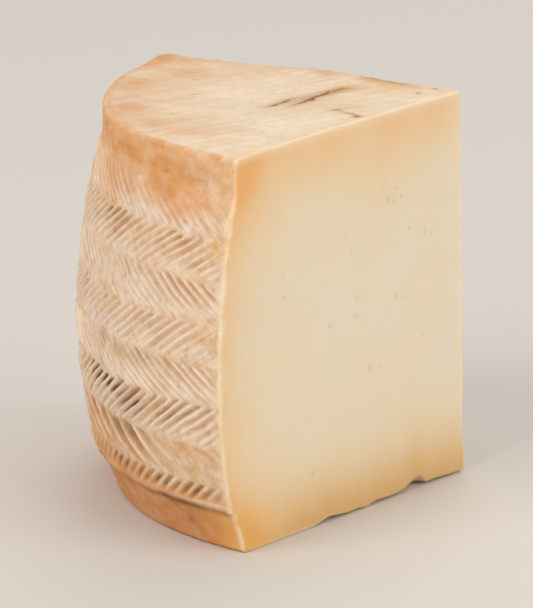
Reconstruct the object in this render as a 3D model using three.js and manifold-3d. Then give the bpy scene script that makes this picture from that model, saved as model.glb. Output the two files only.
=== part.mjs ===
// A quarter of an aged goat cheese wheel, standing on its lower face.
// The wheel was pressed in a plaited grass band between two boards: its barrel bulges, carries
// courses of slanting plait marks, and stands proud of a smooth foot band by a small ledge.
// Millimetres, +Z up. The first cut looks along +X, the second nearly along +Y, and the rind
// faces -X and -Y. The origin is on the ground under the middle of the quarter.

import * as THREE from "three";
import { mergeVertices } from "three/addons/utils/BufferGeometryUtils.js";
import Module from "manifold-3d";

const { degToRad, lerp, smoothstep } = THREE.MathUtils;

// The whole wheel
const BELLY_RADIUS = 100;
const WHEEL_HEIGHT = 100;
const BELLY_HEIGHT = 46;
const BULGE_BELOW = 0.0036;
const BULGE_ABOVE = 0.0032;

// The foot: a rounded corner, a sloping smooth band, and the ledge that the plait left
const FOOT_RADIUS = 90.7;
const FOOT_ROUND = 1.8;
const FOOT_BAND_TOP = 10.2;
const FOOT_BAND_RADIUS = 94.2;
const LEDGE_TOP = 12;

// The crown: a smooth band and a rounded rim under the top face
const CROWN_RADIUS = 93.4;
const RIM_ROUND = 1.4;
const ROUND_STEPS = 3;

// The plait: half a course above the ledge, then whole courses, each leaning the other way
const HALF_COURSE = 5.5;
const COURSE = 10.5;
const WHOLE_COURSES = 7;
const STRANDS_AROUND_WHEEL = 196;
const STROKE_SWING = 8;
const STROKE_END = 0.17;
const GROOVE_DEPTH = 1.1;
const RIDGE_RISE = 0.25;
const FAINT_COURSE = 0.6;

// Near the first cut the plait stops lower down, and leaves a smooth patch under the rim
const PLAIT_TOP = 93;
const PLAIT_FADE = 4;
const PATCH_DROP = 7;
const PATCH_AZIMUTH = 262;
const PATCH_SPREAD = 22;

// The cuts meet at the tip, a little off the wheel's axis, and the second one leans
const TIP_X = -3.3;
const TIP_Y = 2.3;
const SECOND_CUT_TURN = 4.3;
const SECOND_CUT_LEAN = 1.5;
const CUTTER_SIZE = 400;

// The top face: a low dome, an uneven rim, and a pinched lip in the corner at the second cut
const DOME_RISE = 1.1;
const RIM_WAVE = 0.35;
const RIM_WAVES_ROUND = 6;
const RIM_WAVE_TURN = -0.3;
const LIP_RISE = 1.1;
const LIP_WIDTH = 5.5;
const LIP_AZIMUTH = 186.5;

// Two cracks in the top face and a chip in the first cut's lower edge, each a slim spindle
const CRACKS = [
  { x: -31, y: -37, length: 18, width: 1.2, depth: 1.4, azimuth: 82 },
  { x: -29, y: -25, length: 32, width: 1.5, depth: 1.8, azimuth: 95 },
];
const CHIP = { y: -16, length: 7, width: 3, depth: 1.6 };

// The block that the quarter is cut from: a sector that reaches past both cuts to a hub
const HUB = 14;
const SECTOR_START = 176;
const SECTOR_END = 275;
const RING_SHARES = [0.24, 0.44, 0.64, 0.82, 0.94];
const WIDEST_RING_SPANS = 48;

const COLUMN_ANGLE = Math.PI / STRANDS_AROUND_WHEEL;
const SWING_ANGLE = STROKE_SWING / BELLY_RADIUS;
const RIM_RADIUS = CROWN_RADIUS - RIM_ROUND;
const LEAN_AT_GROUND = (WHEEL_HEIGHT / 2) * Math.tan(degToRad(SECOND_CUT_LEAN));

// Radius of the smooth barrel at a height between the ledge and the crown.
function barrelRadius(z) {
  const away = z - BELLY_HEIGHT;
  const bulge = away < 0 ? BULGE_BELOW : BULGE_ABOVE;
  return Math.max(BELLY_RADIUS - bulge * away * away, CROWN_RADIUS);
}

// The rind is drawn row by row from the ground up. A row holds its height and radius, how far
// round its columns swing, how deep the plait prints on it, and which course it is in.
function footRows() {
  const corner = [];
  for (let step = 0; step < ROUND_STEPS; step++) {
    const angle = (step / ROUND_STEPS) * (Math.PI / 2);
    const z = FOOT_ROUND * (1 - Math.cos(angle));
    const radius = FOOT_RADIUS - FOOT_ROUND * (1 - Math.sin(angle));
    corner.push({ z, radius });
  }
  const band = [0, 1].map((share) => ({
    z: lerp(FOOT_ROUND, FOOT_BAND_TOP, share),
    radius: lerp(FOOT_RADIUS, FOOT_BAND_RADIUS, share),
  }));
  return [...corner, ...band].map((row) => ({ ...row, swing: 0, print: 0, course: 0 }));
}

function plaitRows() {
  const rows = [{ z: LEDGE_TOP, radius: barrelRadius(LEDGE_TOP), swing: 0, print: 0, course: 0 }];
  let bottom = LEDGE_TOP;
  let start = 0;
  for (let course = 0; course <= WHOLE_COURSES; course++) {
    const height = course === 0 ? HALF_COURSE : COURSE;
    const leansForward = course % 2 === 0;
    const end = leansForward ? SWING_ANGLE : -SWING_ANGLE;
    const print = leansForward ? 1 : FAINT_COURSE;
    for (const share of [STROKE_END, 1 - STROKE_END, 1]) {
      const z = bottom + height * share;
      rows.push({
        z,
        radius: barrelRadius(z),
        swing: lerp(start, end, share),
        print: share === 1 ? 0 : print,
        course,
      });
    }
    bottom += height;
    start = end;
  }
  return rows;
}

function crownRows(swing) {
  const rimBottom = WHEEL_HEIGHT - RIM_ROUND;
  const rows = [];
  for (let step = 0; step <= ROUND_STEPS; step++) {
    const angle = (step / ROUND_STEPS) * (Math.PI / 2);
    const z = rimBottom + RIM_ROUND * Math.sin(angle);
    const radius = CROWN_RADIUS - RIM_ROUND * (1 - Math.cos(angle));
    rows.push({ z, radius });
  }
  return rows.map((row) => ({ ...row, swing, print: 0, course: 0 }));
}

// How much the top face stands above its nominal height: a flat-topped dome, a slow wave round
// the rim, and the lip in the corner between the rim and the second cut.
function topLift(x, y) {
  const reach = Math.hypot(x, y) / CROWN_RADIUS;
  const dome = DOME_RISE * (1 - Math.min(reach, 1) ** 4);
  const wave = RIM_WAVE * reach * Math.sin(RIM_WAVES_ROUND * Math.atan2(y, x) + RIM_WAVE_TURN);
  const lipX = RIM_RADIUS * Math.cos(degToRad(LIP_AZIMUTH));
  const lipY = RIM_RADIUS * Math.sin(degToRad(LIP_AZIMUTH));
  const aside = Math.hypot(x - lipX, y - lipY) / LIP_WIDTH;
  return dome + wave + LIP_RISE * Math.exp(-(aside ** 2));
}

// Carries a point near the top up with the top face, and leaves lower ones where they are.
function lifted(x, y, z) {
  const share = smoothstep(z / WHEEL_HEIGHT, 0.8, 1);
  return new THREE.Vector3(x, y, z + share * topLift(x, y));
}

// How fully the plait is printed at a place on the barrel, from 0 to 1.
function plaitPrint(angle, z) {
  const aside = (angle - degToRad(PATCH_AZIMUTH)) / degToRad(PATCH_SPREAD);
  const top = PLAIT_TOP - PATCH_DROP * Math.exp(-(aside ** 2));
  const worn = 0.8 + 0.2 * Math.sin(7 * angle + 0.09 * z) * Math.sin(11 * angle - 0.13 * z);
  return worn * (1 - smoothstep(z, top - PLAIT_FADE, top));
}

// One row of the rind. Columns are half a strand apart, a groove and a ridge in turn.
function rindRow(row) {
  const firstColumn = Math.floor(degToRad(SECTOR_START) / COLUMN_ANGLE);
  const lastColumn = Math.ceil(degToRad(SECTOR_END) / COLUMN_ANGLE);
  const points = [];
  for (let column = firstColumn; column <= lastColumn; column++) {
    const angle = column * COLUMN_ANGLE + row.swing;
    const isGroove = (column + row.course) % 2 === 0;
    const mark = row.print * (isGroove ? -GROOVE_DEPTH : RIDGE_RISE);
    const radius = row.radius + mark * plaitPrint(angle, row.z);
    points.push(lifted(radius * Math.cos(angle), radius * Math.sin(angle), row.z));
  }
  return points;
}

// The point at a share of the way from the hub to an edge point, on a level.
function towards(edge, share, z) {
  return lifted(lerp(HUB, edge.x, share), lerp(HUB, edge.y, share), z);
}

// A ring of the top or the underside: the rim's curve shrunk towards the hub, in even spans.
function ring(rim, share, z) {
  const spans = Math.round(WIDEST_RING_SPANS * share);
  const points = [];
  for (let span = 0; span <= spans; span++) {
    const place = (span / spans) * (rim.length - 1);
    const near = Math.min(Math.floor(place), rim.length - 2);
    points.push(towards(rim[near].clone().lerp(rim[near + 1], place - near), share, z));
  }
  return points;
}

// A closed skin, as corners three to a triangle, in the order in which they face outwards.
class Skin {
  constructor() {
    this.corners = [];
  }

  // Joins each row of points to the next one above it.
  sheet(rows) {
    for (let row = 0; row + 1 < rows.length; row++) {
      const below = rows[row];
      const above = rows[row + 1];
      for (let column = 0; column + 1 < below.length; column++) {
        this.corners.push(below[column], below[column + 1], above[column + 1]);
        this.corners.push(below[column], above[column + 1], above[column]);
      }
    }
  }

  // Fills the band between two rings whose points differ in number, by walking both at once.
  band(outer, inner) {
    let out = 0;
    let into = 0;
    while (out + 1 < outer.length || into + 1 < inner.length) {
      const outShare = (out + 1) / (outer.length - 1);
      const inShare = inner.length > 1 ? (into + 1) / (inner.length - 1) : Infinity;
      if (outShare <= inShare) {
        this.corners.push(outer[out], outer[out + 1], inner[into]);
        out += 1;
      } else {
        this.corners.push(inner[into], outer[out], inner[into + 1]);
        into += 1;
      }
    }
  }

  // Fills a level with rings from its rim to the hub. It faces up where the rim runs
  // anticlockwise, and down where it runs clockwise.
  level(rim, z) {
    const inner = RING_SHARES.map((share) => ring(rim, share, z));
    const rings = [[lifted(HUB, HUB, z)], ...inner, rim];
    for (let place = 0; place + 1 < rings.length; place++) {
      this.band(rings[place + 1], rings[place]);
    }
  }

  geometry() {
    return new THREE.BufferGeometry().setFromPoints(this.corners);
  }
}

// The sector of the wheel, closed by the top, the underside and two walls that meet at the hub.
function sectorGeometry() {
  const plait = plaitRows();
  const rows = [...footRows(), ...plait, ...crownRows(plait.at(-1).swing)];
  const rind = rows.map(rindRow);
  const shares = [0, ...RING_SHARES, 1];
  const wall = (column) =>
    rows.map(({ z }, row) => shares.map((share) => towards(rind[row].at(column), share, z)));
  const skin = new Skin();
  skin.sheet(rind);
  skin.sheet(wall(0));
  skin.sheet(wall(-1).map((points) => points.toReversed()));
  skin.level(rind.at(-1), WHEEL_HEIGHT);
  skin.level(rind[0].toReversed(), 0);
  return skin.geometry();
}

// The two blocks that are cut away. Each has one side in its cut.
function firstCutBlock() {
  const block = new THREE.BoxGeometry(CUTTER_SIZE, CUTTER_SIZE, CUTTER_SIZE);
  return block.translate(CUTTER_SIZE / 2 + TIP_X, 0, 0);
}

function secondCutBlock() {
  const block = new THREE.BoxGeometry(CUTTER_SIZE, CUTTER_SIZE, CUTTER_SIZE);
  block.translate(0, CUTTER_SIZE / 2, 0);
  block.rotateX(degToRad(SECOND_CUT_LEAN));
  block.rotateZ(degToRad(SECOND_CUT_TURN));
  return block.translate(TIP_X, TIP_Y, WHEEL_HEIGHT / 2);
}

// A slim eight-sided spindle that leaves a tapering V where it meets a face.
function spindle(length, width, depth) {
  return new THREE.OctahedronGeometry(1).scale(length / 2, width / 2, depth);
}

function crackSpindle({ x, y, length, width, depth, azimuth }) {
  const height = WHEEL_HEIGHT + topLift(x, y);
  return spindle(length, width, depth).rotateZ(degToRad(azimuth)).translate(x, y, height);
}

function chipSpindle({ y, length, width, depth }) {
  return spindle(length, width, depth).rotateZ(degToRad(90)).translate(TIP_X, y, 0);
}

const wasm = await Module();
wasm.setup();

function solid(shape) {
  const loose = shape.index ? shape.toNonIndexed() : shape.clone();
  loose.deleteAttribute("normal");
  loose.deleteAttribute("uv");
  const merged = mergeVertices(loose);
  return new wasm.Manifold(
    new wasm.Mesh({
      numProp: 3,
      vertProperties: merged.getAttribute("position").array,
      triVerts: new Uint32Array(merged.index.array),
    }),
  );
}

// The quarter, with the blocks, the cracks and the chip taken out of the sector.
function quarterGeometry() {
  const taken = [firstCutBlock(), secondCutBlock(), ...CRACKS.map(crackSpindle), chipSpindle(CHIP)];
  const quarter = taken.reduce((left, shape) => left.subtract(solid(shape)), solid(sectorGeometry()));
  const { vertProperties, triVerts } = quarter.getMesh();
  const geometry = new THREE.BufferGeometry();
  geometry.setAttribute("position", new THREE.BufferAttribute(vertProperties, 3));
  geometry.setIndex(new THREE.BufferAttribute(triVerts, 1));
  geometry.computeVertexNormals();
  return geometry;
}

const finish = new THREE.MeshStandardMaterial({ color: 0xe3cba3, roughness: 0.6, metalness: 0 });
const wedge = new THREE.Mesh(quarterGeometry(), finish);
wedge.name = "cheese_wedge";

// The wheel's axis stands beside the origin, which is under the middle of the quarter.
wedge.position.set((BELLY_RADIUS - TIP_X) / 2, (BELLY_RADIUS - TIP_Y - LEAN_AT_GROUND) / 2, 0);

const group = new THREE.Group();
group.add(wedge);

export default group;
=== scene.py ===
# The looks of a quarter of an aged goat cheese wheel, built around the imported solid.
# Metres, +Z up. Shapes are worked out beside the wheel's axis and then carried to the frame.

import logging
import math
from collections.abc import Callable
from dataclasses import dataclass, replace
from enum import Enum, IntEnum

import bpy
import numpy as np
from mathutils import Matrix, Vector
from mathutils.geometry import delaunay_2d_cdt


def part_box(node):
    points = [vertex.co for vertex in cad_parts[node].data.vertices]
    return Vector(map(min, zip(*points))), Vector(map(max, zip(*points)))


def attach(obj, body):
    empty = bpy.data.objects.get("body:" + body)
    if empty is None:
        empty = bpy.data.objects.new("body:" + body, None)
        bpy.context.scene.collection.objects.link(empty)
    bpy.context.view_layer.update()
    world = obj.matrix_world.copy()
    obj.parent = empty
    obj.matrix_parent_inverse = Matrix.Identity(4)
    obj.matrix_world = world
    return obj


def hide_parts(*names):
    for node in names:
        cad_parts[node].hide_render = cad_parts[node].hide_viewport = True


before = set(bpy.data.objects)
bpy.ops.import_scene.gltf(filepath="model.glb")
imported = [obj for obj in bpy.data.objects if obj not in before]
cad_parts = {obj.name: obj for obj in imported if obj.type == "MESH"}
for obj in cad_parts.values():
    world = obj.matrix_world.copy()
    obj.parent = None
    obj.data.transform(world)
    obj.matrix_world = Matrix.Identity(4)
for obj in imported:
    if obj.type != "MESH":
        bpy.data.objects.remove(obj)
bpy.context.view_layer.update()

Array = np.ndarray
Colour = tuple[int, int, int]
Arrays = dict[str, Array]
Pair = tuple[float, float]
Triple = tuple[float, float, float]
Socket = bpy.types.NodeSocket

NODE = "cheese_wedge"
PIECE = "goat_cheese_quarter"
BODY = "root"

log = logging.getLogger("goat_cheese")


def smoothstep(value: Array, low: float, high: float) -> Array:
    """Ease from 0 at low to 1 at high: with t the clipped share of the way, 3 t^2 - 2 t^3."""
    share = np.clip((value - low) / (high - low), 0, 1)
    return share * share * (3 - 2 * share)


def bell(value: Array, width: float) -> Array:
    """Bell curve that is 1 at zero: e to the power of minus (value / width) squared."""
    return np.exp(-((value / width) ** 2))


def rounding(depth_in: Array, radius: float) -> Array:
    """How far a rounded edge lies below its face: a quarter circle over the distance in."""
    left = np.clip(radius - depth_in, 0, radius)
    return radius - np.sqrt(radius**2 - left**2)


@dataclass(frozen=True)
class Ease:
    """A weight that is start up to low and end from high on, with a smooth change between."""

    low: float
    high: float
    start: float = 0.0
    end: float = 1.0

    def at(self, place: Array) -> Array:
        """Weight at each place: start plus (end - start) times the smoothstep."""
        return self.start + (self.end - self.start) * smoothstep(place, self.low, self.high)


@dataclass(frozen=True)
class Hump:
    """A weight that is base far off, with a bell of a given half width and strength round its middle."""

    middle: float
    width: float
    strength: float = 1.0
    base: float = 0.0

    def at(self, place: Array) -> Array:
        """Weight at each place: base plus strength times the bell."""
        return self.base + self.strength * bell(place - self.middle, self.width)


class Grain:
    """Smooth random values over a plane, from a seeded lattice that repeats far off."""

    SIZE = 101
    LAYER_SHIFT = (7.3, 3.1)

    def __init__(self, seed: int) -> None:
        """Draws the lattice.

        Args:
            seed: number that fixes the draw.
        """
        self.lattice = np.random.default_rng(seed).uniform(-1, 1, (self.SIZE, self.SIZE))

    def at(self, across: Array, up: Array) -> Array:
        """Value from -1 to 1: the four lattice values round a place, blended by smoothstep.

        Args:
            across: first coordinate, in lattice cells.
            up: second coordinate, in lattice cells.

        Returns:
            One value for each place.
        """
        across, up = np.broadcast_arrays(across, up)
        column, row = np.floor(across).astype(int), np.floor(up).astype(int)
        over, above = smoothstep(across - column, 0, 1), smoothstep(up - row, 0, 1)
        near, far = column % self.SIZE, (column + 1) % self.SIZE
        low, high = row % self.SIZE, (row + 1) % self.SIZE
        below = self.lattice[low, near] * (1 - over) + self.lattice[low, far] * over
        upper = self.lattice[high, near] * (1 - over) + self.lattice[high, far] * over
        return below * (1 - above) + upper * above

    def layered(self, across: Array, up: Array, layers: int) -> Array:
        """Sum of layers, each twice as fine, half as strong and moved twice as far as the last."""
        right, higher = self.LAYER_SHIFT
        return sum(self.at((across + right) * k, (up + higher) * k) / k for k in 2 ** np.arange(layers))


@dataclass(frozen=True)
class Mottle:
    """Seeded unevenness: the size of its cells both ways, how many layers it has, and its strength."""

    seed: int
    wide: float
    tall: float = 1.0
    layers: int = 1
    strength: float = 1.0

    def at(self, across: Array, up: Array) -> Array:
        """Value at each place: strength times the grain, in one layer or in several.

        Args:
            across: first coordinate.
            up: second coordinate.

        Returns:
            One value for each place.
        """
        grain = Grain(self.seed)
        column, row = across / self.wide, up / self.tall
        value = grain.at(column, row) if self.layers == 1 else grain.layered(column, row, self.layers)
        return self.strength * value

    def along(self, place: Array) -> Array:
        """Value at each place of a line that runs midway between two rows of the lattice."""
        return self.at(place, self.tall / 2)


@dataclass(frozen=True)
class Spot:
    """A soft oval patch: its middle, its half width and half height, and its strength there."""

    across: float
    up: float
    wide: float
    tall: float
    strength: float = 1.0

    def weight(self, across: Array, up: Array) -> Array:
        """Strength times a bell in each direction."""
        return self.strength * bell(across - self.across, self.wide) * bell(up - self.up, self.tall)


def spots(*rows: tuple[float, ...]) -> tuple[Spot, ...]:
    """Spots from rows of their place and half sizes, in millimetres, and their strength."""
    return tuple(Spot(*(number / 1000 for number in row[:4]), row[4]) for row in rows)


def spread(ovals: tuple[Spot, ...], across: Array, up: Array) -> Array:
    """Sum of the spots' weights at each place."""
    return sum(oval.weight(across, up) for oval in ovals)


@dataclass(frozen=True)
class Patches:
    """Soft patches of one colour: their mean share, and how much a grain varies it."""

    spots: tuple[Spot, ...]
    mean: float = 1.0
    varies: float = 0.0

    def at(self, across: Array, up: Array, rough: Array) -> Array:
        """Weight at each place: the spots' sum times (mean + varies times the grain)."""
        return spread(self.spots, across, up) * (self.mean + self.varies * rough)


@dataclass(frozen=True)
class Band:
    """A soft band: its weights over the height and round the belly, and how much a grain varies it."""

    level: Ease | Hump
    around: Ease | Hump
    varies: float = 0.0

    def at(self, arc: Array, height: Array, rough: Array) -> Array:
        """Weight at each place: both weights' product, times (1 + varies times the grain)."""
        return self.level.at(height) * self.around.at(arc) * (1 + self.varies * rough)


@dataclass(frozen=True)
class Dent:
    """A small round hollow, an eye in the paste or a pit in the crust, with its mouth's radius."""

    RINGS = ((0.0, 1), (0.35, 6), (0.7, 9), (1.0, 12), (1.35, 12))
    STAIN_REACH = 1.5

    across: float
    up: float
    radius: float
    depth: float

    def hollow(self, across: Array, up: Array) -> Array:
        """Depth at each place: depth times (1 - (distance / radius)^2)^2 inside the mouth."""
        away = np.hypot(across - self.across, up - self.up) / self.radius
        return self.depth * np.clip(1 - away**2, 0, 1) ** 2

    def brown(self, across: Array, up: Array) -> Array:
        """Strength of the stain round its mouth: a bell over the distance."""
        return bell(np.hypot(across - self.across, up - self.up), self.STAIN_REACH * self.radius)

    def stations(self) -> Array:
        """Points on rings round the dent, where the mesh is made fine.

        Returns:
            Rows of two coordinates.
        """
        rings = []
        for share, count in self.RINGS:
            turn = np.arange(count) * (2 * np.pi / count) + share
            reach = share * self.radius
            rings.append(np.stack([self.across + reach * np.cos(turn), self.up + reach * np.sin(turn)], 1))
        return np.concatenate(rings)


def dents(*rows: tuple[float, ...]) -> tuple[Dent, ...]:
    """Dents from rows of their place, radius and depth, in millimetres."""
    return tuple(Dent(*(number / 1000 for number in row)) for row in rows)


@dataclass(frozen=True)
class Crack:
    """A dried crack in the top face that runs along a few points and tapers at both ends.

    Attributes:
        path: the points that it runs through, beside the axis.
        width: half width at its widest.
        depth: depth at its deepest.
        heart: share of its length where it is deepest.
        reach: how far the deep part reaches from there, as a share of its length.
        stain: half width of the brown stain along it.
    """

    STEP = 0.0004
    LANES = (-2.6, -1.7, -1.1, -0.75, -0.35, 0.0, 0.35, 0.75, 1.1, 1.7, 2.6)
    WAVER = Mottle(91, 0.003, 0.003, 2, 0.0003)
    RAGGED = Mottle(92, 0.0012, 0.0012, 1, 0.35)
    FAR = 1000.0
    END = 0.001
    TAPER_POWER = 0.7
    V_POWER = 0.8
    SHALLOW = 0.3
    NARROW = 0.35
    FAINT = 0.25

    path: tuple[Pair, ...]
    width: float
    depth: float
    heart: float
    reach: float
    stain: float

    def _taper(self, share: Array) -> Array:
        """Size along it: a power of a half sine, times a bell round its heart over a base."""
        ends = np.sin(np.pi * np.clip(share, self.END, 1 - self.END)) ** self.TAPER_POWER
        return ends * (self.SHALLOW + (1 - self.SHALLOW) * bell(share - self.heart, self.reach))

    def local(self, x: Array, y: Array) -> tuple[Array, Array]:
        """Finds each place's nearest point on the crack, after moving x a little by grain.

        Args:
            x: first coordinate beside the axis.
            y: second coordinate.

        Returns:
            Share along the crack, and distance from its middle.
        """
        x = x + self.WAVER.at(x, y)
        path = np.array(self.path)
        steps = np.diff(path, axis=0)
        lengths = np.hypot(*steps.T)
        starts = np.concatenate([[0], np.cumsum(lengths)[:-1]])
        best, share = np.full(x.shape, self.FAR), np.zeros(x.shape)
        for point, step, length, start in zip(path, steps, lengths, starts):
            along = np.clip(((x - point[0]) * step[0] + (y - point[1]) * step[1]) / length**2, 0, 1)
            away = np.hypot(x - point[0] - along * step[0], y - point[1] - along * step[1])
            nearer = away < best
            best = np.where(nearer, away, best)
            share = np.where(nearer, (start + along * length) / lengths.sum(), share)
        return share, best

    def hollow(self, x: Array, y: Array) -> Array:
        """Depth of a ragged V, which is shallower and narrower away from its heart.

        Args:
            x: first coordinate beside the axis.
            y: second coordinate.

        Returns:
            Depth times size times a power of (1 - distance / half width there).
        """
        share, away = self.local(x, y)
        size = self._taper(share)
        wide = self.width * (self.NARROW + (1 - self.NARROW) * size) * (1 + self.RAGGED.at(x, y))
        return self.depth * size * np.clip(1 - away / wide, 0, 1) ** self.V_POWER

    def brown(self, x: Array, y: Array) -> Array:
        """Strength of the stain along it: a bell across, stronger at its heart."""
        share, away = self.local(x, y)
        return bell(away, self.stain) * (self.FAINT + (1 - self.FAINT) * self._taper(share))

    def stations(self) -> Array:
        """Points on lanes along the crack, where the mesh is made fine.

        Returns:
            Rows of x and y: the middle line plus each lane's multiple of the half width.
        """
        path = np.array(self.path)
        lengths = np.hypot(*np.diff(path, axis=0).T)
        along = np.concatenate([[0], np.cumsum(lengths)])
        place = np.linspace(0, along[-1], int(along[-1] / self.STEP))
        middle = np.stack([np.interp(place, along, path[:, 0]), np.interp(place, along, path[:, 1])], 1)
        way = np.gradient(middle, axis=0)
        side = np.stack([-way[:, 1], way[:, 0]], 1) / np.hypot(*way.T)[:, None]
        lanes = np.array(self.LANES)[:, None, None] * self.width
        return (middle + lanes * side).reshape(-1, 2)


@dataclass(frozen=True)
class Wheel:
    """The whole wheel that the quarter is cut from.

    A barrel of radius belly_radius - bulge (z - belly_height)^2, never under the crown's radius,
    over a sloping foot band that ends in a ledge.
    """

    height: float = 0.100
    belly_radius: float = 0.100
    belly_height: float = 0.046
    bulge_below: float = 3.6
    bulge_above: float = 3.2
    crown_radius: float = 0.0934
    rim_round: float = 0.0014
    foot_radius: float = 0.0907
    foot_round: float = 0.0018
    band_top: float = 0.0102
    band_radius: float = 0.0942
    ledge_top: float = 0.012
    dome_rise: float = 0.0011
    rim_wave: float = 0.00035
    rim_waves_round: int = 6
    rim_wave_turn: float = -0.3
    lip_rise: float = 0.0011
    lip_width: float = 0.0055
    lip_azimuth: float = 186.5
    lifted: Ease = Ease(0.8, 1.0)

    @property
    def rim_radius(self) -> float:
        """Radius of the top face's flat part."""
        return self.crown_radius - self.rim_round

    def barrel(self, height: Array) -> Array:
        """Smooth radius between the ledge and the crown."""
        away = height - self.belly_height
        bulge = np.where(away < 0, self.bulge_below, self.bulge_above)
        return np.maximum(self.belly_radius - bulge * away**2, self.crown_radius)

    def lift(self, x: Array, y: Array) -> Array:
        """How much the top stands above its nominal height.

        Args:
            x: first coordinate beside the axis.
            y: second coordinate.

        Returns:
            A dome of rise (1 - reach^4), a slow sine round the rim and a bell for the lip.
        """
        reach = np.hypot(x, y) / self.crown_radius
        dome = self.dome_rise * (1 - np.minimum(reach, 1) ** 4)
        turn = self.rim_waves_round * np.arctan2(y, x) + self.rim_wave_turn
        lip = math.radians(self.lip_azimuth)
        aside = np.hypot(x - self.rim_radius * math.cos(lip), y - self.rim_radius * math.sin(lip))
        return dome + self.rim_wave * reach * np.sin(turn) + self.lip_rise * bell(aside, self.lip_width)

    def side_lift(self, x: Array, y: Array, height: Array) -> Array:
        """The part of the top's lift that the side takes over at each height."""
        return self.lifted.at(height / self.height) * self.lift(x, y)


@dataclass(frozen=True)
class Knife:
    """How the quarter was cut out of the wheel.

    Attributes:
        tip: where both cuts meet at mid height, beside the axis.
        second_turn: how far the second cut is turned, in degrees.
        second_lean: how far it leans, in degrees.
    """

    tip: Pair = (-0.0033, 0.0023)
    second_turn: float = 4.3
    second_lean: float = 1.5


class Lean(Enum):
    """Which way a course of the plait leans, seen from outside as its strands rise."""

    FORWARD = 1
    BACK = -1


class Own(IntEnum):
    """What is drawn for each strand in each course, in the order of the draws."""

    DEPTH = 0
    SKEW = 1
    CREST = 2
    FOOT = 3
    HEAD = 4


@dataclass(frozen=True)
class Course:
    """One course of the plait.

    Attributes:
        top: height of its upper edge.
        lean: the way that its strands lean.
        swing: how far round the belly they run while they rise.
        depth: how deep its troughs are.
        skew: how much deeper the troughs are at their top than at their foot, from -1 to 1.
        width: power of the trough's profile; a high one gives a wide trough and a thin crest.
        merged: how many strands share one trough.
        stain: how brown its troughs are for their depth: stain, and painted shadow in the troughs.
        pale: how pale its crests are for their height: paler crust, and painted highlight on the crests.
    """

    top: float
    lean: Lean
    swing: float
    depth: float
    skew: float
    width: float
    merged: int
    stain: float
    pale: float


@dataclass(frozen=True)
class Rows:
    """The rind's rows from the ground up, with one value a row in each array.

    Attributes:
        height: height before the top face's lift.
        radius: smooth radius without plait marks.
        turn: how far round its strands have swung, in radians.
        course: which course it is in.
        share: place in that course, from 0 at its foot to 1 at its top.
        print: 1 in the plait and 0 above and below it.
    """

    height: Array
    radius: Array
    turn: Array
    course: Array
    share: Array
    print: Array

    def column(self, name: str) -> Array:
        """An array as a column, to spread over the rows of a grid."""
        return getattr(self, name)[:, None]


# The stain and pale columns paint the troughs browner and the crests paler: partly the crust's own colour,
# partly painted shade in the troughs and painted highlight on the crests.
COURSES = (
    Course(0.0182, Lean.FORWARD, 0.0070, 0.00040, 0.5, 0.8, 1, 2.1, 0.5),
    Course(0.0280, Lean.BACK, 0.0150, 0.00020, 0.6, 2.0, 2, 1.4, 0.40),
    Course(0.0390, Lean.FORWARD, 0.0162, 0.00066, 0.6, 1.2, 1, 0.72, 1.5),
    Course(0.0490, Lean.BACK, 0.0165, 0.00030, 0.6, 1.6, 1, 0.7, 0.9),
    Course(0.0595, Lean.FORWARD, 0.0160, 0.00042, 0.6, 1.4, 1, 0.8, 0.9),
    Course(0.0700, Lean.BACK, 0.0165, 0.00021, 0.6, 1.6, 1, 0.8, 0.6),
    Course(0.0805, Lean.FORWARD, 0.0165, 0.00045, 0.5, 1.4, 1, 0.9, 0.9),
    Course(0.0910, Lean.BACK, 0.0160, 0.00034, -0.2, 1.8, 1, 0.8, 0.7),
)
# Rows of spots on the rind: length round the belly from the first cut, height, half width and
# half height in millimetres, and strength.
WORN = spots(
    (6.5, 78.5, 6, 4, 0.95), (6, 54.5, 7, 6, 0.9), (44, 65.5, 17, 6, 0.85), (14, 60.5, 15, 2.8, 0.9),
    (46, 43.5, 14, 5.5, 0.8), (60, 58, 10, 8, 0.6), (13, 23, 18, 6.5, 0.97), (35, 84, 16, 3.5, 0.6),
    (56, 88, 10, 5, 0.6), (30, 12.2, 60, 1.6, 0.95), (41.5, 16, 1.8, 3, 0.6), (33, 16.5, 2, 2.4, 0.5),
    (59, 16, 6, 3, 0.6), (98, 70, 16, 10, 0.7), (122, 43, 12, 9, 0.6), (145, 64, 10, 10, 0.6),
)
PRESSED = spots(
    (51.5, 37.4, 3.6, 2.2, 1.4), (60.5, 37.4, 2.6, 2, 1), (40, 35, 8.5, 4, 0.45), (44, 24, 9, 6, 0.3),
    (50, 78.5, 8, 3, 0.2), (108, 33, 20, 5, 0.6), (135, 76, 14, 5, 0.5),
)
# Dark brown in the deepest pressed pits of the print: stain, and painted shade in the pits.
DARK = spots(
    (52, 36.8, 3.6, 2.2, 3.6), (46, 34.5, 3, 2.2, 0.8), (61.5, 36.2, 3.6, 2.6, 2.4),
    (41, 32.5, 4.4, 2.6, 0.6), (36.5, 33.8, 2.4, 1.5, 0.9), (24, 34, 4, 1.8, 0.3), (15, 35.5, 5, 2, 0.3),
    (56, 78.5, 5, 2.2, 0.45), (43, 79, 4, 2, 0.26), (25, 77, 6, 2, 0.15), (16, 15.6, 10, 1.5, 0.65),
    (29, 15.6, 4, 1.5, 0.95), (37.5, 15.8, 4, 1.5, 0.75), (48, 16.2, 6, 1.4, 0.7), (47, 24.5, 5, 2.2, 0.28),
    (37.5, 26.2, 3.6, 2.2, 0.55), (106, 36.5, 5, 1.6, 1.1), (132, 14.5, 16, 1.6, 0.4),
)


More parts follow.
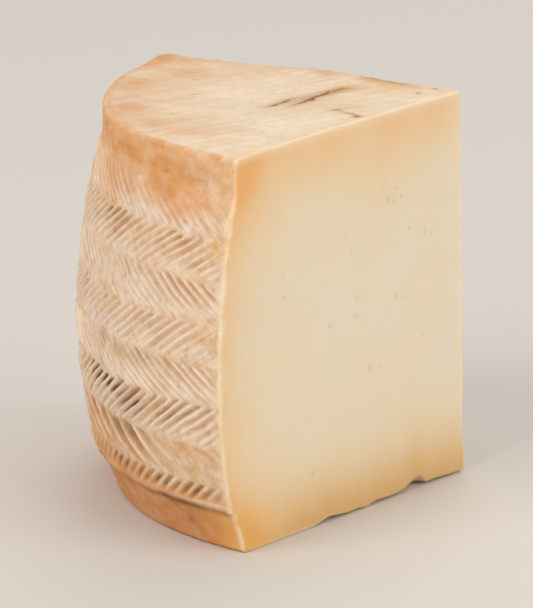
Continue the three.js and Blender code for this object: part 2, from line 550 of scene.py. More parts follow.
@dataclass(frozen=True)
class Rind:
    """The rind round the side: a smooth foot band and crown, and a plait's print between them."""

    wheel: Wheel
    strands_round: int = 158
    columns_a_strand: int = 10
    courses: tuple[Course, ...] = COURSES
    row_height: float = 0.00081
    foot_rows: tuple[int, int, int] = (5, 10, 7)
    ledge_out: float = 0.75
    crown_rows: tuple[int, int] = (8, 6)
    strand_seed: int = 11
    varies: tuple[float, ...] = (0.35, 0.25, 0.6, 0.10, 0.06)
    course_apart: float = 3.7
    strand_waver: Mottle = Mottle(17, 2.2, strength=0.16)
    stroke_foot: float = 0.05
    stroke_head: float = 0.97
    stroke_end: float = 0.09
    worn: tuple[Spot, ...] = WORN
    most_worn: float = 0.95
    pressed: tuple[Spot, ...] = PRESSED
    groups: Mottle = Mottle(12, 0.009, layers=2)
    pressing: Pair = (0.9, 0.55)
    plait_top: float = 0.093
    top_waver: Mottle = Mottle(13, 0.006, strength=0.0015)
    patch: Hump = Hump(0.012, 0.037, 0.007)
    plait_fade: float = 0.004
    smear: Pair = (0.0006, 0.0030)
    smear_waver: float = 0.0008
    skew_limits: Pair = (0.15, 2.0)
    crest_broken: Mottle = Mottle(20, 1 / 1.7, 0.003, 1, 0.4)
    crest_rise: float = 0.00032
    crest_power: int = 3
    pale_power: int = 2
    stain_share: float = 0.8
    hidden_stain: float = 0.9
    hidden: Ease = Ease(0.055, 0.085)
    dark: tuple[Spot, ...] = DARK
    dark_core: Pair = (1.5, 2.1)
    dark_varies: float = 1.6
    scallop: float = 0.00025
    relief_foot: Ease = Ease(0.0, 0.006)
    relief_head: Ease = Ease(0.094, 0.0985, 1.0, 0.0)
    slow: Mottle = Mottle(14, 0.013, 0.011, 3, 0.00030)
    fine: Mottle = Mottle(15, 0.0022, 0.0018, 2, 0.00006)
    wander: Mottle = Mottle(18, 0.014, 0.03, 2, 0.0005)
    wander_foot: Ease = Ease(0.012, 0.022)
    wander_head: Ease = Ease(0.085, 0.093, 1.0, 0.0)

    @property
    def step(self) -> float:
        """Angle between two columns."""
        return 2 * math.pi / (self.strands_round * self.columns_a_strand)

    def _foot(self) -> tuple[Array, Array]:
        """The rounded corner, the sloping band and the rounded ledge.

        Returns:
            Heights and radii of their rows.
        """
        wheel = self.wheel
        corner_rows, band_rows, ledge_rows = self.foot_rows
        turn = np.linspace(0, math.pi / 2, corner_rows, endpoint=False)
        up = np.linspace(0, 1, band_rows, endpoint=False)
        out = np.linspace(0, 1, ledge_rows, endpoint=False)
        ledge_radius = float(wheel.barrel(np.array(wheel.ledge_top)))
        height = np.concatenate([
            wheel.foot_round * (1 - np.cos(turn)),
            wheel.foot_round + (wheel.band_top - wheel.foot_round) * up,
            wheel.band_top + (wheel.ledge_top - wheel.band_top) * out,
        ])
        radius = np.concatenate([
            wheel.foot_radius - wheel.foot_round * (1 - np.sin(turn)),
            wheel.foot_radius + (wheel.band_radius - wheel.foot_radius) * up,
            wheel.band_radius + (ledge_radius - wheel.band_radius) * smoothstep(out, 0, self.ledge_out),
        ])
        return height, radius

    def _crown(self) -> tuple[Array, Array]:
        """The smooth band over the plait and the rounded rim.

        Returns:
            Heights and radii of their rows.
        """
        wheel = self.wheel
        band_rows, rim_rows = self.crown_rows
        start = self.courses[-1].top
        rise = np.linspace(start, wheel.height - wheel.rim_round, band_rows, endpoint=False)
        turn = np.linspace(0, math.pi / 2, rim_rows)
        height = np.concatenate([rise, wheel.height - wheel.rim_round * (1 - np.sin(turn))])
        rim = wheel.crown_radius - wheel.rim_round * (1 - np.cos(turn))
        return height, np.concatenate([wheel.barrel(rise), rim])

    def rows(self) -> Rows:
        """Lays out the rows. A strand swings evenly through its course, to one side or the other.

        Returns:
            The rows, from the ground to the rim.
        """
        foot_height, foot_radius = self._foot()
        crown_height, crown_radius = self._crown()
        heights, turns, numbers, shares = [], [], [], []
        bottom, start = self.wheel.ledge_top, 0.0
        for number, course in enumerate(self.courses):
            count = round((course.top - bottom) / self.row_height)
            share = np.linspace(0, 1, count, endpoint=False)
            end = start + course.lean.value * course.swing / self.wheel.belly_radius
            heights.append(bottom + (course.top - bottom) * share)
            turns.append(start + (end - start) * share)
            numbers.append(np.full(count, number))
            shares.append(share)
            bottom, start = course.top, end
        plait_height = np.concatenate(heights)
        foot, crown = len(foot_height), len(crown_height)
        return Rows(
            height=np.concatenate([foot_height, plait_height, crown_height]),
            radius=np.concatenate([foot_radius, self.wheel.barrel(plait_height), crown_radius]),
            turn=np.concatenate([np.zeros(foot), *turns, np.full(crown, start)]),
            course=np.concatenate([np.zeros(foot, int), *numbers, np.full(crown, len(self.courses) - 1)]),
            share=np.concatenate([np.zeros(foot), *shares, np.ones(crown)]),
            print=np.concatenate([np.zeros(foot), np.ones(len(plait_height)), np.zeros(crown)]),
        )

    def arc(self, angle: Array) -> Array:
        """Length round the belly from the first cut, where the angle is 270 degrees."""
        return (1.5 * np.pi - angle) * self.wheel.belly_radius

    def strand(self, rows: Rows, angle: Array) -> Array:
        """Number of the strand at each place, whole in the middle of a trough."""
        swung = (angle - rows.column("turn")) / (self.step * self.columns_a_strand)
        return swung + rows.column("course") / 2

    def _each(self, name: str, course: Array) -> Array:
        """A value of the courses, at each place of an array of course numbers."""
        return np.array([getattr(one, name) for one in self.courses])[course]

    def _ends(self, share: Array, own: Array) -> Array:
        """Fades a strand at both ends, which each strand has at its own places.

        Args:
            share: place in the course.
            own: the strands' own draws, in the order of Own.

        Returns:
            1 along the strand and 0 past its ends.
        """
        foot = self.stroke_foot + own[Own.FOOT]
        head = self.stroke_head + own[Own.HEAD]
        begins = smoothstep(share, foot, foot + self.stroke_end)
        return begins * (1 - smoothstep(share, head - self.stroke_end, head))

    def _force(self, rows: Rows, arc: Array, margin: Array) -> Array:
        """How hard the plait was pressed in, before wear.

        Args:
            rows: the rows of the grid.
            arc: length round the belly from the first cut.
            margin: length round the belly from the nearer cut.

        Returns:
            About 1 in the print, uneven by groups of strands, and 0 at its top and at the cuts.
        """
        height = rows.column("height")
        groups = self.groups.at(arc, self.course_apart * rows.column("course") + rows.column("share"))
        mean, varies = self.pressing
        force = (1 + spread(self.pressed, arc, height)) * (mean + varies * groups)
        top = self.plait_top - self.patch.at(arc) + self.top_waver.along(arc)
        force = force * rows.column("print") * (1 - smoothstep(height - top, -self.plait_fade, 0))
        return force * smoothstep(margin + self.smear_waver * groups, *self.smear)

    def marks(self, rows: Rows, angle: Array, margin: Array) -> Arrays:
        """The plait's print at each place of a grid.

        A strand's trough is 1 - (2 d)^width across it, with d the distance from its middle in
        strands, and it deepens evenly along it by the course's skew. The crest between two
        troughs is (2 d)^3.

        Args:
            rows: the rows of the grid.
            angle: angle of each place, one row of the array for each row.
            margin: length round the belly from the nearer cut, where the knife smeared the print.

        Returns:
            Trough and crest heights in metres, both positive, and the colour weights of the
            troughs, browned as stain and painted shadow, of the pale crests, partly painted
            highlight, and of the dark places, stain and painted shadow in the deepest pits.
        """
        course, share, height = rows.column("course"), rows.column("share"), rows.column("height")
        arc = self.arc(angle)
        merged = self._each("merged", course)
        strand = self.strand(rows, angle)
        strand = (strand + self.strand_waver.at(strand, self.course_apart * course)) / merged
        number = np.round(strand).astype(int)
        aside = np.clip(2 * np.abs(strand - number), 0, 1)
        shape = (len(Own), len(self.courses), self.strands_round)
        draws = np.random.default_rng(self.strand_seed).uniform(-1, 1, shape)
        own = np.array(self.varies)[:, None, None] * draws[:, course, number % self.strands_round]
        kept = (1 - np.clip(spread(self.worn, arc, height), 0, self.most_worn)) * self._ends(share, own)
        force = kept * self._force(rows, arc, margin)
        skew = self._each("skew", course) + own[Own.SKEW]
        along = np.clip(1 + skew * (2 * share - 1), *self.skew_limits)
        trough = force * along * (1 + own[Own.DEPTH]) * (1 - aside ** self._each("width", course))
        crest = np.minimum(force, 1) * (1 + own[Own.CREST]) * (1 + self.crest_broken.at(strand, height))
        stain = self._each("stain", course)
        stain = stain + (self.hidden_stain - stain) * self.hidden.at(arc)
        offset, slope = self.dark_core
        core = np.clip(offset - slope * aside, 0, 1) * (1 + self.dark_varies * own[Own.SKEW])
        return {
            "trough": self._each("depth", course) * trough,
            "crest": self.crest_rise * crest * aside ** (self.crest_power * merged),
            # Brown in the troughs by their depth: stain, and painted shade.
            "stain": self.stain_share * trough * stain,
            # Pale on the crests: paler crust, and painted highlight.
            "pale": self._each("pale", course) * crest * aside ** (self.pale_power * merged),
            # Near-black in the middle of the troughs at the dark spots: stain, and painted shade.
            "deep": spread(self.dark, arc, height) * kept * core,
        }

    def radius(self, rows: Rows, angle: Array, margin: Array) -> Array:
        """Radius with every relief: the marks, a scallop over each course and unevenness.

        Args:
            rows: the rows of the grid.
            angle: angle of each place.
            margin: length round the belly from the nearer cut.

        Returns:
            Radius at each place.
        """
        marks = self.marks(rows, angle, margin)
        height, arc = rows.column("height"), self.arc(angle)
        uneven = self.slow.at(arc, height) + self.fine.at(arc, height)
        uneven = self.relief_foot.at(height) * self.relief_head.at(height) * uneven
        scallop = self.scallop * np.sin(np.pi * rows.column("share")) * rows.column("print")
        return rows.column("radius") + marks["crest"] - marks["trough"] + scallop + uneven

    def rise(self, rows: Rows, angle: Array) -> Array:
        """How much the rows wander up and down, so that no course is ruled."""
        height = rows.column("height")
        weight = self.wander_foot.at(height) * self.wander_head.at(height)
        return weight * self.wander.at(self.arc(angle), height)


# The crown's lower edge: length round the belly from the first cut and height, in metres.
CROWN_LINE = (
    (0.003, 0.0868), (0.010, 0.0858), (0.018, 0.0846), (0.024, 0.0840), (0.031, 0.0849), (0.037, 0.0861),
    (0.042, 0.0872), (0.050, 0.0888), (0.062, 0.0904), (0.100, 0.0890), (0.157, 0.0905),
)
CROWN_SPOTS = spots(
    (33, 93.8, 5, 1, 0.15), (24, 89.5, 10, 3.6, 0.14), (33, 86.6, 10, 2.2, -0.14), (61, 95, 6, 3, 0.15),
    (13, 91.5, 7, 2.5, -0.1), (50, 94.8, 12, 2, 0.25), (60, 98.5, 26, 1.2, 0.2), (100, 94, 20, 4, 0.2),
    (140, 96, 16, 3, 0.2),
)
RIND_BROWN = spots(
    (36.5, 94, 2.4, 0.5, 0.55), (31, 93.1, 1.6, 0.5, 0.5), (45, 93.5, 3, 0.6, 0.2), (18, 8.5, 6, 2.2, 0.3),
    (36.5, 26, 3.6, 2.2, 0.34), (48, 16, 20, 2, 0.12), (44, 90.2, 6, 2.2, 0.14), (53, 85.8, 6, 2, 0.1),
    (28, 20.5, 5, 2, 0.2), (56, 31.2, 8, 2.2, 0.13), (60, 52, 5, 2.6, 0.13), (44, 52.2, 5, 2, 0.08),
    (31, 86.8, 8, 2.4, 0.06), (60, 94.2, 6, 2, 0.07), (33, 90.5, 8, 2, 0.07), (40, 6, 2.4, 1.6, 0.2),
    (30, 8, 2, 1, 0.25), (12, 5, 1.6, 1.2, 0.15), (20.5, 6, 2, 1.2, 0.3), (60, 7, 8, 3, 0.06),
    (100, 6, 8, 3, 0.2),
)
RIND_BLOOM = spots(
    (40, 83, 14, 3, 0.7), (18, 83.5, 10, 2.5, 0.4), (78, 64, 24, 17, 0.8), (88, 20, 18, 6, 0.5),
    (44, 64, 16, 4, 0.45), (20, 62.2, 14, 3, 0.8), (38, 41.2, 18, 3, 0.45), (14, 41.2, 8, 3, 0.4),
    (40, 51.8, 24, 2.5, 0.5), (40, 72.5, 26, 2, 0.35), (18, 68, 10, 2.6, 0.55), (125, 55, 18, 16, 0.7),
)
RIND_OCHRE = spots(
    (6.5, 79, 4, 3.5, 1.4), (6, 56, 6, 4, 0.9), (6, 45, 4, 3, 0.4), (50, 78.5, 14, 3, 0.6),
    (56, 56, 10, 4, 0.5), (14, 25, 10, 4, 0.7), (50, 26.2, 14, 3.5, 0.7), (10, 25.5, 6, 3, 0.5),
    (58, 20, 10, 6, 0.6), (62, 88, 10, 6, 0.4), (8, 28, 8, 4.5, 0.5), (8, 14, 10, 2, 0.9),
    (6, 90, 6, 5, 0.5), (5, 99, 8, 1.5, 0.7), (22, 98.5, 16, 2, 0.5), (12, 77, 8, 4, 0.4),
    (14, 33, 10, 3, 0.5), (12, 46, 6, 3, 0.5),
)
# Grey places: olive-grey crust, and painted shade along the tops of some courses.
RIND_GREY = spots(
    (40, 46.8, 18, 2, 0.4), (13, 46.6, 11, 1.6, 0.35), (47, 68.2, 18, 1.8, 0.35), (60, 40, 8, 4, 0.25),
    (44, 46.5, 3, 1.6, 0.55), (50, 48, 5, 1.4, 0.35), (56, 45, 4, 3, 0.3), (46, 25.5, 12, 2.6, 0.6),
    (60, 30, 8, 3, 0.4), (44, 31, 6, 1.8, 0.45), (56, 31, 6, 2.2, 0.32), (95, 47, 8, 2.5, 0.35),
    (130, 68, 10, 2.5, 0.3),
)
CORNER_TOAST = Band(Hump(0.0142, 0.0030), Ease(0.008, 0.022, 0.45), 0.4)
SIDE_TOAST = (
    Band(Hump(0.0885, 0.0048), Ease(0.030, 0.054, 0.0, 0.85), 0.3),
    Band(Hump(0.0885, 0.0048), Ease(0.048, 0.062, 0.0, -0.30), 0.3),
    Band(Hump(0.0830, 0.0040), Ease(0.046, 0.062, 0.0, 0.35)),
    Band(Hump(0.0190, 0.0050), Ease(0.044, 0.060, 0.0, 0.60), 0.4),
)


@dataclass(frozen=True)
class RindPaints:
    """Where each colour of the rind lies, over the arc round the belly and the height."""

    rind: Rind
    rough: Mottle = Mottle(16, 0.009, 0.006, 3)
    crown_soft: Ease = Ease(0.030, 0.050, 0.0022, 0.0052)
    crown_waver: float = 0.0016
    crown: Hump = Hump(0.009, 0.012, -0.35, 0.85)
    # Less toast on the rounded rim, so it shows paler: painted highlight.
    crown_rim_highlight: Ease = Ease(0.0985, 0.1000, 1.0, 0.6)
    flecks: Mottle = Mottle(34, 0.0035, 0.0016, 2, 0.22)
    foot: Ease = Ease(0.0115, 0.0124, 1.0, 0.0)
    foot_waver: float = 0.0003
    foot_tan: Hump = Hump(0.0, 0.013, -0.85, 1.0)
    # Gold on the foot near the first cut: golden crust, brightened as painted light where the foot band
    # faces down into shade.
    foot_gold_and_light: Hump = Hump(0.0, 0.012, 0.75)
    corner_toast: Band = CORNER_TOAST
    side_toast: tuple[Band, ...] = SIDE_TOAST
    # The pale strip beside each cut: paler crust along the cut, and painted highlight on the rounded cut
    # edge.
    strip: Ease = Ease(0.0001, 0.0012, 0.7, 0.0)
    strip_waver: Mottle = Mottle(19, 0.0018, 0.01, 3, 0.0007)
    strip_share: Pair = (0.75, 0.35)
    strip_head: Ease = Ease(0.086, 0.096, 1.0, 0.4)
    strip_gap: Hump = Hump(0.0785, 0.003, -0.75, 1.0)
    dust: Ease = Ease(0.026, 0.030, 0.0, 0.30)
    dust_foot: Ease = Ease(0.0, 0.08)
    dust_head: Ease = Ease(0.25, 0.60, 1.0, 0.0)
    # Painted shadow under the plait's lower edge, over the ledge from about 9 to 12 mm up, strongest about
    # 22 mm round from the first cut.
    ledge: Band = Band(Ease(0.0092, 0.0112), Hump(0.022, 0.012, 0.52, 0.28), 0.5)
    ledge_shadow_head: Ease = Ease(0.0118, 0.0124, 1.0, 0.0)
    # Pale line along the lip over the ledge: painted highlight.
    lip: Spot = Spot(0.008, 0.0127, 0.014, 0.0004, 0.55)
    plait_foot: Ease = Ease(0.0125, 0.0160)
    plait_head: Ease = Ease(0.086, 0.091, 1.0, 0.0)
    bloom: Patches = Patches(RIND_BLOOM, 0.8, 0.5)
    ochre: Patches = Patches(RIND_OCHRE, 0.9, 0.5)
    # Grey places, partly painted shade along the tops of some courses.
    grey: Patches = Patches(RIND_GREY, 0.8, 0.6)
    brown: Patches = Patches(RIND_BROWN, 0.7, 0.6)
    strand_width: float = 0.0040

    def _toast(self, arc: Array, height: Array, rough: Array, foot: Array) -> Array:
        """The toasted colour: the greatest of crown, foot, the band over the ledge and the rest.

        Args:
            arc: length round the belly from the first cut.
            height: height before the top's lift.
            rough: the shared unevenness.
            foot: weight of the foot.

        Returns:
            One weight for each place.
        """
        edge = np.interp(arc, *np.transpose(CROWN_LINE))
        soft = self.crown_soft.at(arc)
        crown = smoothstep(height + self.crown_waver * rough - edge, -soft, soft)
        strong = self.crown.at(arc) + spread(CROWN_SPOTS, arc, height)
        # The crown is paler on the rounded rim: painted highlight.
        crown = crown * (strong * self.crown_rim_highlight.at(height) - self.flecks.at(arc, height))
        corner = self.corner_toast.at(arc, height, rough)
        side = sum(band.at(arc, height, rough) for band in self.side_toast)
        return np.maximum.reduce([crown, foot, corner, side])

    def _strip(self, arc: Array, height: Array, margin: Array, rough: Array) -> Array:
        """The pale strip beside a cut: paler crust, and painted highlight on the rounded edge.

        Args:
            arc: length round the belly from the first cut.
            height: height before the top's lift.
            margin: length round the belly from the nearer cut.
            rough: the shared unevenness.

        Returns:
            One weight for each place.
        """
        mean, varies = self.strip_share
        strip = self.strip.at(margin + self.strip_waver.at(height, arc)) * (mean + varies * rough)
        return strip * self.strip_head.at(height) * self.strip_gap.at(height)

    def weights(self, rows: Rows, angle: Array, margin: Array) -> Arrays:
        """Colour weights from 0 to 1 at each place of a grid, and the weave's own coordinates.

        Args:
            rows: the rows of the grid.
            angle: angle of each place.
            margin: length round the belly from the nearer cut.

        Returns:
            Weights by name, and "weave" as rows of x across the strands and y along them.
        """
        marks = self.rind.marks(rows, angle, margin)
        height, arc = np.broadcast_arrays(rows.column("height"), self.rind.arc(angle))
        rough = self.rough.at(arc, height)
        foot = self.foot.at(height + self.foot_waver * rough)
        share = rows.column("share")
        low = rows.column("print") * self.dust_foot.at(share) * self.dust_head.at(share)
        weights = {
            # Brown troughs: stain, and painted shade in the troughs.
            "trough": marks["stain"],
            # Dark pits: stain, and painted shade in the pits.
            "deep": marks["deep"],
            # Pale crests and the pale lip over the ledge: paler crust, and painted highlight.
            "crest": marks["pale"] + self.lip.weight(arc, height),
            # Pale strip beside the cuts: paler crust, and painted highlight on the rounded edge.
            "strip": self._strip(arc, height, margin, rough),
            "toast": self._toast(arc, height, rough, foot),
            "foot": foot * self.foot_tan.at(arc),
            # Gold on the foot near the first cut: golden crust, and painted light on the downward-facing
            # band.
            "gold": foot * self.foot_gold_and_light.at(arc),
            # Painted shadow under the ledge, plus brown patches of the crust.
            "shade": self.ledge.at(arc, height, rough) * self.ledge_shadow_head.at(height)
            + self.brown.at(arc, height, rough),
            "bloom": self.bloom.at(arc, height, rough) + low * self.dust.at(height) * (1 + rough),
            "ochre": self.ochre.at(arc, height, rough),
            # Grey: olive-grey crust, and painted shade along some course tops.
            "grey": self.grey.at(arc, height, rough),
            "print": self.plait_foot.at(height) * self.plait_head.at(height),
        }
        weights = {name: np.clip(weight, 0, 1) for name, weight in weights.items()}
        strand = self.rind.strand(rows, angle) * self.strand_width
        return {**weights, "weave": np.stack([strand, height, np.zeros_like(height)], -1)}


@dataclass(frozen=True)
class Cut:
    """A knife cut: a plane that holds the tip line and runs out to the rind.

    Attributes:
        tip: where the tip line stands at mid height, beside the axis.
        turn: how far the cut is turned, in degrees; at 0 it runs along -X to the rind.
        side: 1 if the face looks to the right of one who walks from the tip to the rind, or -1.
        slope: sideways move of the tip line for each metre up.
        mid: height where the tip line passes through tip.
    """

    tip: Pair
    turn: float
    side: int
    slope: float
    mid: float

    @property
    def along(self) -> Array:
        """Level direction from the tip to the rind."""
        turn = math.radians(self.turn)
        return np.array([-math.cos(turn), -math.sin(turn)])

    @property
    def outward(self) -> Array:
        """Level direction out of the cut face."""
        return self.side * np.array([self.along[1], -self.along[0]])

    def line(self, height: Array) -> Array:
        """The tip line's place at each height, as rows of x and y."""
        height = np.asarray(height)
        x = np.full(height.shape, self.tip[0])
        return np.stack([x, self.tip[1] - self.slope * (height - self.mid)], -1)

    def place(self, reach: Array, height: Array, sunk: Array) -> Array:
        """Points on the face: the tip line, plus reach along the cut, less sunk out of it."""
        level = self.line(height) + reach[..., None] * self.along - sunk[..., None] * self.outward
        return np.concatenate([level, np.broadcast_to(height, reach.shape)[..., None]], -1)

    def flat(self, points: Array) -> Array:
        """Reach and height of points on the face, as rows."""
        reach = (points[:, :2] - self.line(points[:, 2])) @ self.along
        return np.stack([reach, points[:, 2]], 1)

    def reach_to(self, height: Array, radius: Array, sunk: Array) -> Array:
        """Reach at which the face meets a circle round the axis: the root of a quadratic.

        Args:
            height: heights.
            radius: radius of the circle at each of them.
            sunk: how far the face lies under its plane there.

        Returns:
            One reach for each height.
        """
        start = self.line(height) - np.asarray(sunk)[..., None] * self.outward
        lead = start @ self.along
        return -lead + np.sqrt(lead**2 - (start**2).sum(-1) + radius**2)


class Edge(Enum):
    """The edges of a cut face."""

    RIND = 0
    TOP = 1
    GROUND = 2
    TIP = 3


@dataclass(frozen=True)
class FaceEdges:
    """Reach and height along the four edges of a cut face, one row for each point."""

    rind: Array
    top: Array
    ground: Array
    tip: Array

    def distances(self, places: Array) -> dict[Edge, Array]:
        """Distance in from each edge: level to the rind and tip, and upright to the other two.

        Args:
            places: rows of reach and height.

        Returns:
            Distances by edge.
        """
        reach, height = places.T
        return {
            Edge.RIND: np.interp(height, self.rind[:, 1], self.rind[:, 0]) - reach,
            Edge.TOP: np.interp(reach, *self.top.T) - height,
            Edge.GROUND: height - np.interp(reach, *self.ground.T),
            Edge.TIP: reach,
        }


@dataclass(frozen=True)
class Fade:
    """A weight that dies away from an edge, and has fallen to 1 in e at its reach."""

    strength: float
    reach: float
    power: float = 1.0

    def at(self, away: Array, further: Array | float = 0.0) -> Array:
        """Weight: strength times e to minus (distance / (reach + further))^power."""
        return self.strength * np.exp(-((away / (self.reach + further)) ** self.power))


@dataclass(frozen=True)
class PastePaints:
    """Where each colour of a cut face lies, by the distances in from its edges."""

    rough: Mottle = Mottle(8, 0.012, 0.012, 3)
    rind: Fade = Fade(0.59, 0.0108)
    rind_waver: float = 0.0012
    top: Fade = Fade(0.60, 0.0160, 1.4)
    top_varies: float = 0.12
    top_tip: Hump = Hump(0.0, 0.008, -0.45, 1.0)
    ground: Fade = Fade(0.62, 0.0130, 1.3)
    top_corner: Spot = Spot(0.0, 0.0, 0.011, 0.016, 0.50)
    low_corner: Spot = Spot(0.0, 0.0, 0.010, 0.012, 0.45)
    ripe_varies: float = 0.03
    gold: Spot = Spot(0.0, 0.0, 0.012, 0.013, 0.75)
    # Painted shade along the lower edge of the cut face, away from the rind.
    dusk: Fade = Fade(0.85, 0.0085, 1.5)
    ground_shade_side: Ease = Ease(0.004, 0.026)
    # Pale lines along the tip, the rind, the top and the foot: paler paste, and painted highlight on the
    # rounded edges.
    tip: Hump = Hump(0.0, 0.0026, 0.40)
    tip_foot: Ease = Ease(0.002, 0.020)
    ragged: Mottle = Mottle(9, 0.0030, layers=3)
    line_width: Pair = (0.0006, 0.0005)
    line_top: Ease = Ease(0.008, 0.014)
    line_ground: Ease = Ease(0.008, 0.030)
    line_varies: float = 0.40
    line_edge: Ease = Ease(0.4, 1.7, 1.0, 0.0)
    line_share: Pair = (0.50, 0.40)
    line_head: Ease = Ease(0.006, 0.014, 0.5)
    rim_line: Hump = Hump(0.0, 0.0016, 0.60)
    foot_line: Hump = Hump(0.0, 0.0007, 0.45)
    foot_reach: Ease = Ease(0.050, 0.065)
    foot_side: Hump = Hump(0.0, 0.004, -0.7, 1.0)

    def ripe(self, near: dict[Edge, Array], rough: Array) -> Array:
        """Ripeness: one minus the product of what each edge leaves unripe, plus the corners.

        Args:
            near: distances in from the edges, none under 0.
            rough: the shared unevenness.

        Returns:
            One weight for each place.
        """
        side, top, ground = near[Edge.RIND], near[Edge.TOP], near[Edge.GROUND]
        by_rind = self.rind.at(side, self.rind_waver * rough)
        by_top = self.top.at(top) * (1 + self.top_varies * rough) * self.top_tip.at(near[Edge.TIP])
        ripe = 1 - (1 - by_rind) * (1 - by_top) * (1 - self.ground.at(ground))
        corners = self.top_corner.weight(side, top) + self.low_corner.weight(side, ground)
        return ripe + corners + self.ripe_varies * rough

    def pale(self, near: dict[Edge, Array], reach: Array, ragged: Array) -> Array:
        """Paleness along the edges, paler paste and painted highlight on the rounded edges: the greater of
        the tip's and the ragged outline's.

        Args:
            near: distances in from the edges, none under 0.
            reach: reach from the tip.
            ragged: unevenness along the rind.

        Returns:
            One weight for each place.
        """
        side, top, ground = near[Edge.RIND], near[Edge.TOP], near[Edge.GROUND]
        least, wider = self.line_width
        wide = least + wider * self.line_top.at(top) * self.line_ground.at(ground)
        mean, varies = self.line_share
        line = self.line_edge.at(side / (wide * (1 + self.line_varies * ragged)))
        line = line * (mean + varies * ragged) * self.line_head.at(top) + self.rim_line.at(top)
        foot = self.foot_line.at(ground) * self.foot_reach.at(reach) * self.foot_side.at(side)
        return np.maximum(self.tip.at(near[Edge.TIP]) * self.tip_foot.at(ground), line + foot)


@dataclass(frozen=True)
class CutFace:
    """The looks and relief of one cut face, in reach from the tip and height."""

    WEAR_CELL = 0.006
    MOST_WEAR = 1.5
    WEAR_FADE = 0.0007
    RELIEF = Ease(0.0002, 0.003)
    SUNK = 0.00021
    SLANT = 0.22
    KNIFE_MARKS = Mottle(5, 0.0035, 0.09, 3, 0.00006)
    SLOW = Mottle(6, 0.03, 0.03, 1, 0.00012)
    CURD = Mottle(7, 0.0028, 0.0028, 2, 0.00003)
    HEADROOM = 0.002
    LOOP_SLACK = 0.9

    cut: Cut
    seed: int
    eyes: tuple[Dent, ...]
    rounds_tip: bool
    edge_round: float = 0.00045
    wear: float = 0.0004
    spacing: float = 0.0013
    loops: tuple[float, ...] = (0.00004, 0.00012, 0.00026, 0.00045, 0.0008, 0.0014)
    paints: PastePaints = PastePaints()

    def _own(self, mottle: Mottle) -> Mottle:
        """A mottle with the face's own number added to its seed."""
        return replace(mottle, seed=self.seed + mottle.seed)

    def worn_back(self, place: Array, edge: Edge) -> Array:
        """How far a sharp edge is worn back at each place along it, never under 0."""
        draw = self._own(Mottle(edge.value, self.WEAR_CELL, layers=3)).along(place)
        return self.edge_round + self.wear * np.clip(draw, 0, self.MOST_WEAR)

    def sunk(self, places: Array, distances: dict[Edge, Array]) -> Array:
        """How far the face lies under its plane: worn edges, knife marks, grain and eyes.

        Args:
            places: rows of reach and height.
            distances: distances in from its edges.

        Returns:
            One depth for each place.
        """
        reach, height = places.T
        along = {Edge.RIND: height, Edge.TOP: reach, Edge.GROUND: reach, Edge.TIP: height}
        sunk = np.zeros_like(reach)
        for edge, place in along.items():
            if edge is Edge.TIP and not self.rounds_tip:
                continue
            away = np.clip(distances[edge], 0, None)
            extra = (self.worn_back(place, edge) - self.edge_round) * np.exp(-away / self.WEAR_FADE)
            sunk = np.maximum(sunk, rounding(away, self.edge_round) + extra)
        relief = self.SUNK + self._own(self.KNIFE_MARKS).at(height + self.SLANT * reach, reach)
        relief = relief + self._own(self.SLOW).at(reach, height) + self._own(self.CURD).at(reach, height)
        inward = self.RELIEF.at(np.minimum.reduce(list(distances.values())))
        return sunk + inward * relief + sum(eye.hollow(reach, height) for eye in self.eyes)

    def weights(self, places: Array, distances: dict[Edge, Array]) -> Arrays:
        """Colour weights of the paste: ripe under the rind, painted shadow along the ground edge, pale along
        the tip and edges with painted highlight, and painted shadow in the eyes.

        Args:
            places: rows of reach and height.
            distances: distances in from its edges.

        Returns:
            Weights by name.
        """
        reach, height = places.T
        paints = self.paints
        rough = self._own(paints.rough).at(reach, height)
        ragged = self._own(paints.ragged).along(height)
        near = {edge: np.clip(away, 0, None) for edge, away in distances.items()}
        side, ground = near[Edge.RIND], near[Edge.GROUND]
        weights = {
            "ripe": paints.ripe(near, rough),
            "gold": paints.gold.weight(side, ground),
            # Painted shade along the lower edge.
            "dusk": paints.dusk.at(ground) * paints.ground_shade_side.at(side),
            # Pale edge lines: paler paste, and painted highlight on the rounded edges.
            "pale": paints.pale(near, reach, ragged),
            # Darker in the eyes' hollows: painted shade.
            "eye": sum(eye.hollow(reach, height) / eye.depth for eye in self.eyes),
        }
        return {name: np.clip(weight, 0, 1) for name, weight in weights.items()}

    def inner_points(self, edges: FaceEdges, gap: float) -> Array:
        """Points of the mesh inside the outline: round the eyes, beside the edges and over the rest.

        Args:
            edges: its edges.
            gap: least distance between two of the points.

        Returns:
            Rows of reach and height.
        """
        inner = [np.concatenate([eye.stations() for eye in self.eyes])]
        for depth_in in self.loops:
            inner.append(edges.rind - (depth_in, 0))
            inner.append(edges.top - (0, depth_in))
            inner.append(edges.ground + (0, depth_in))
            inner.append(edges.tip + (depth_in, 0))
        wide, tall = edges.rind.max(0)
        inner.append(honeycomb((0, 0), (wide, tall + self.HEADROOM), self.spacing, self.seed))
        inner = thinned(np.concatenate(inner), gap)
        distances = edges.distances(inner)
        if not self.rounds_tip:
            distances[Edge.TIP] = distances[Edge.TIP] - edges.tip[:, 0].max()
        least = np.minimum.reduce(list(distances.values()))
        return inner[least > self.LOOP_SLACK * self.loops[0]]


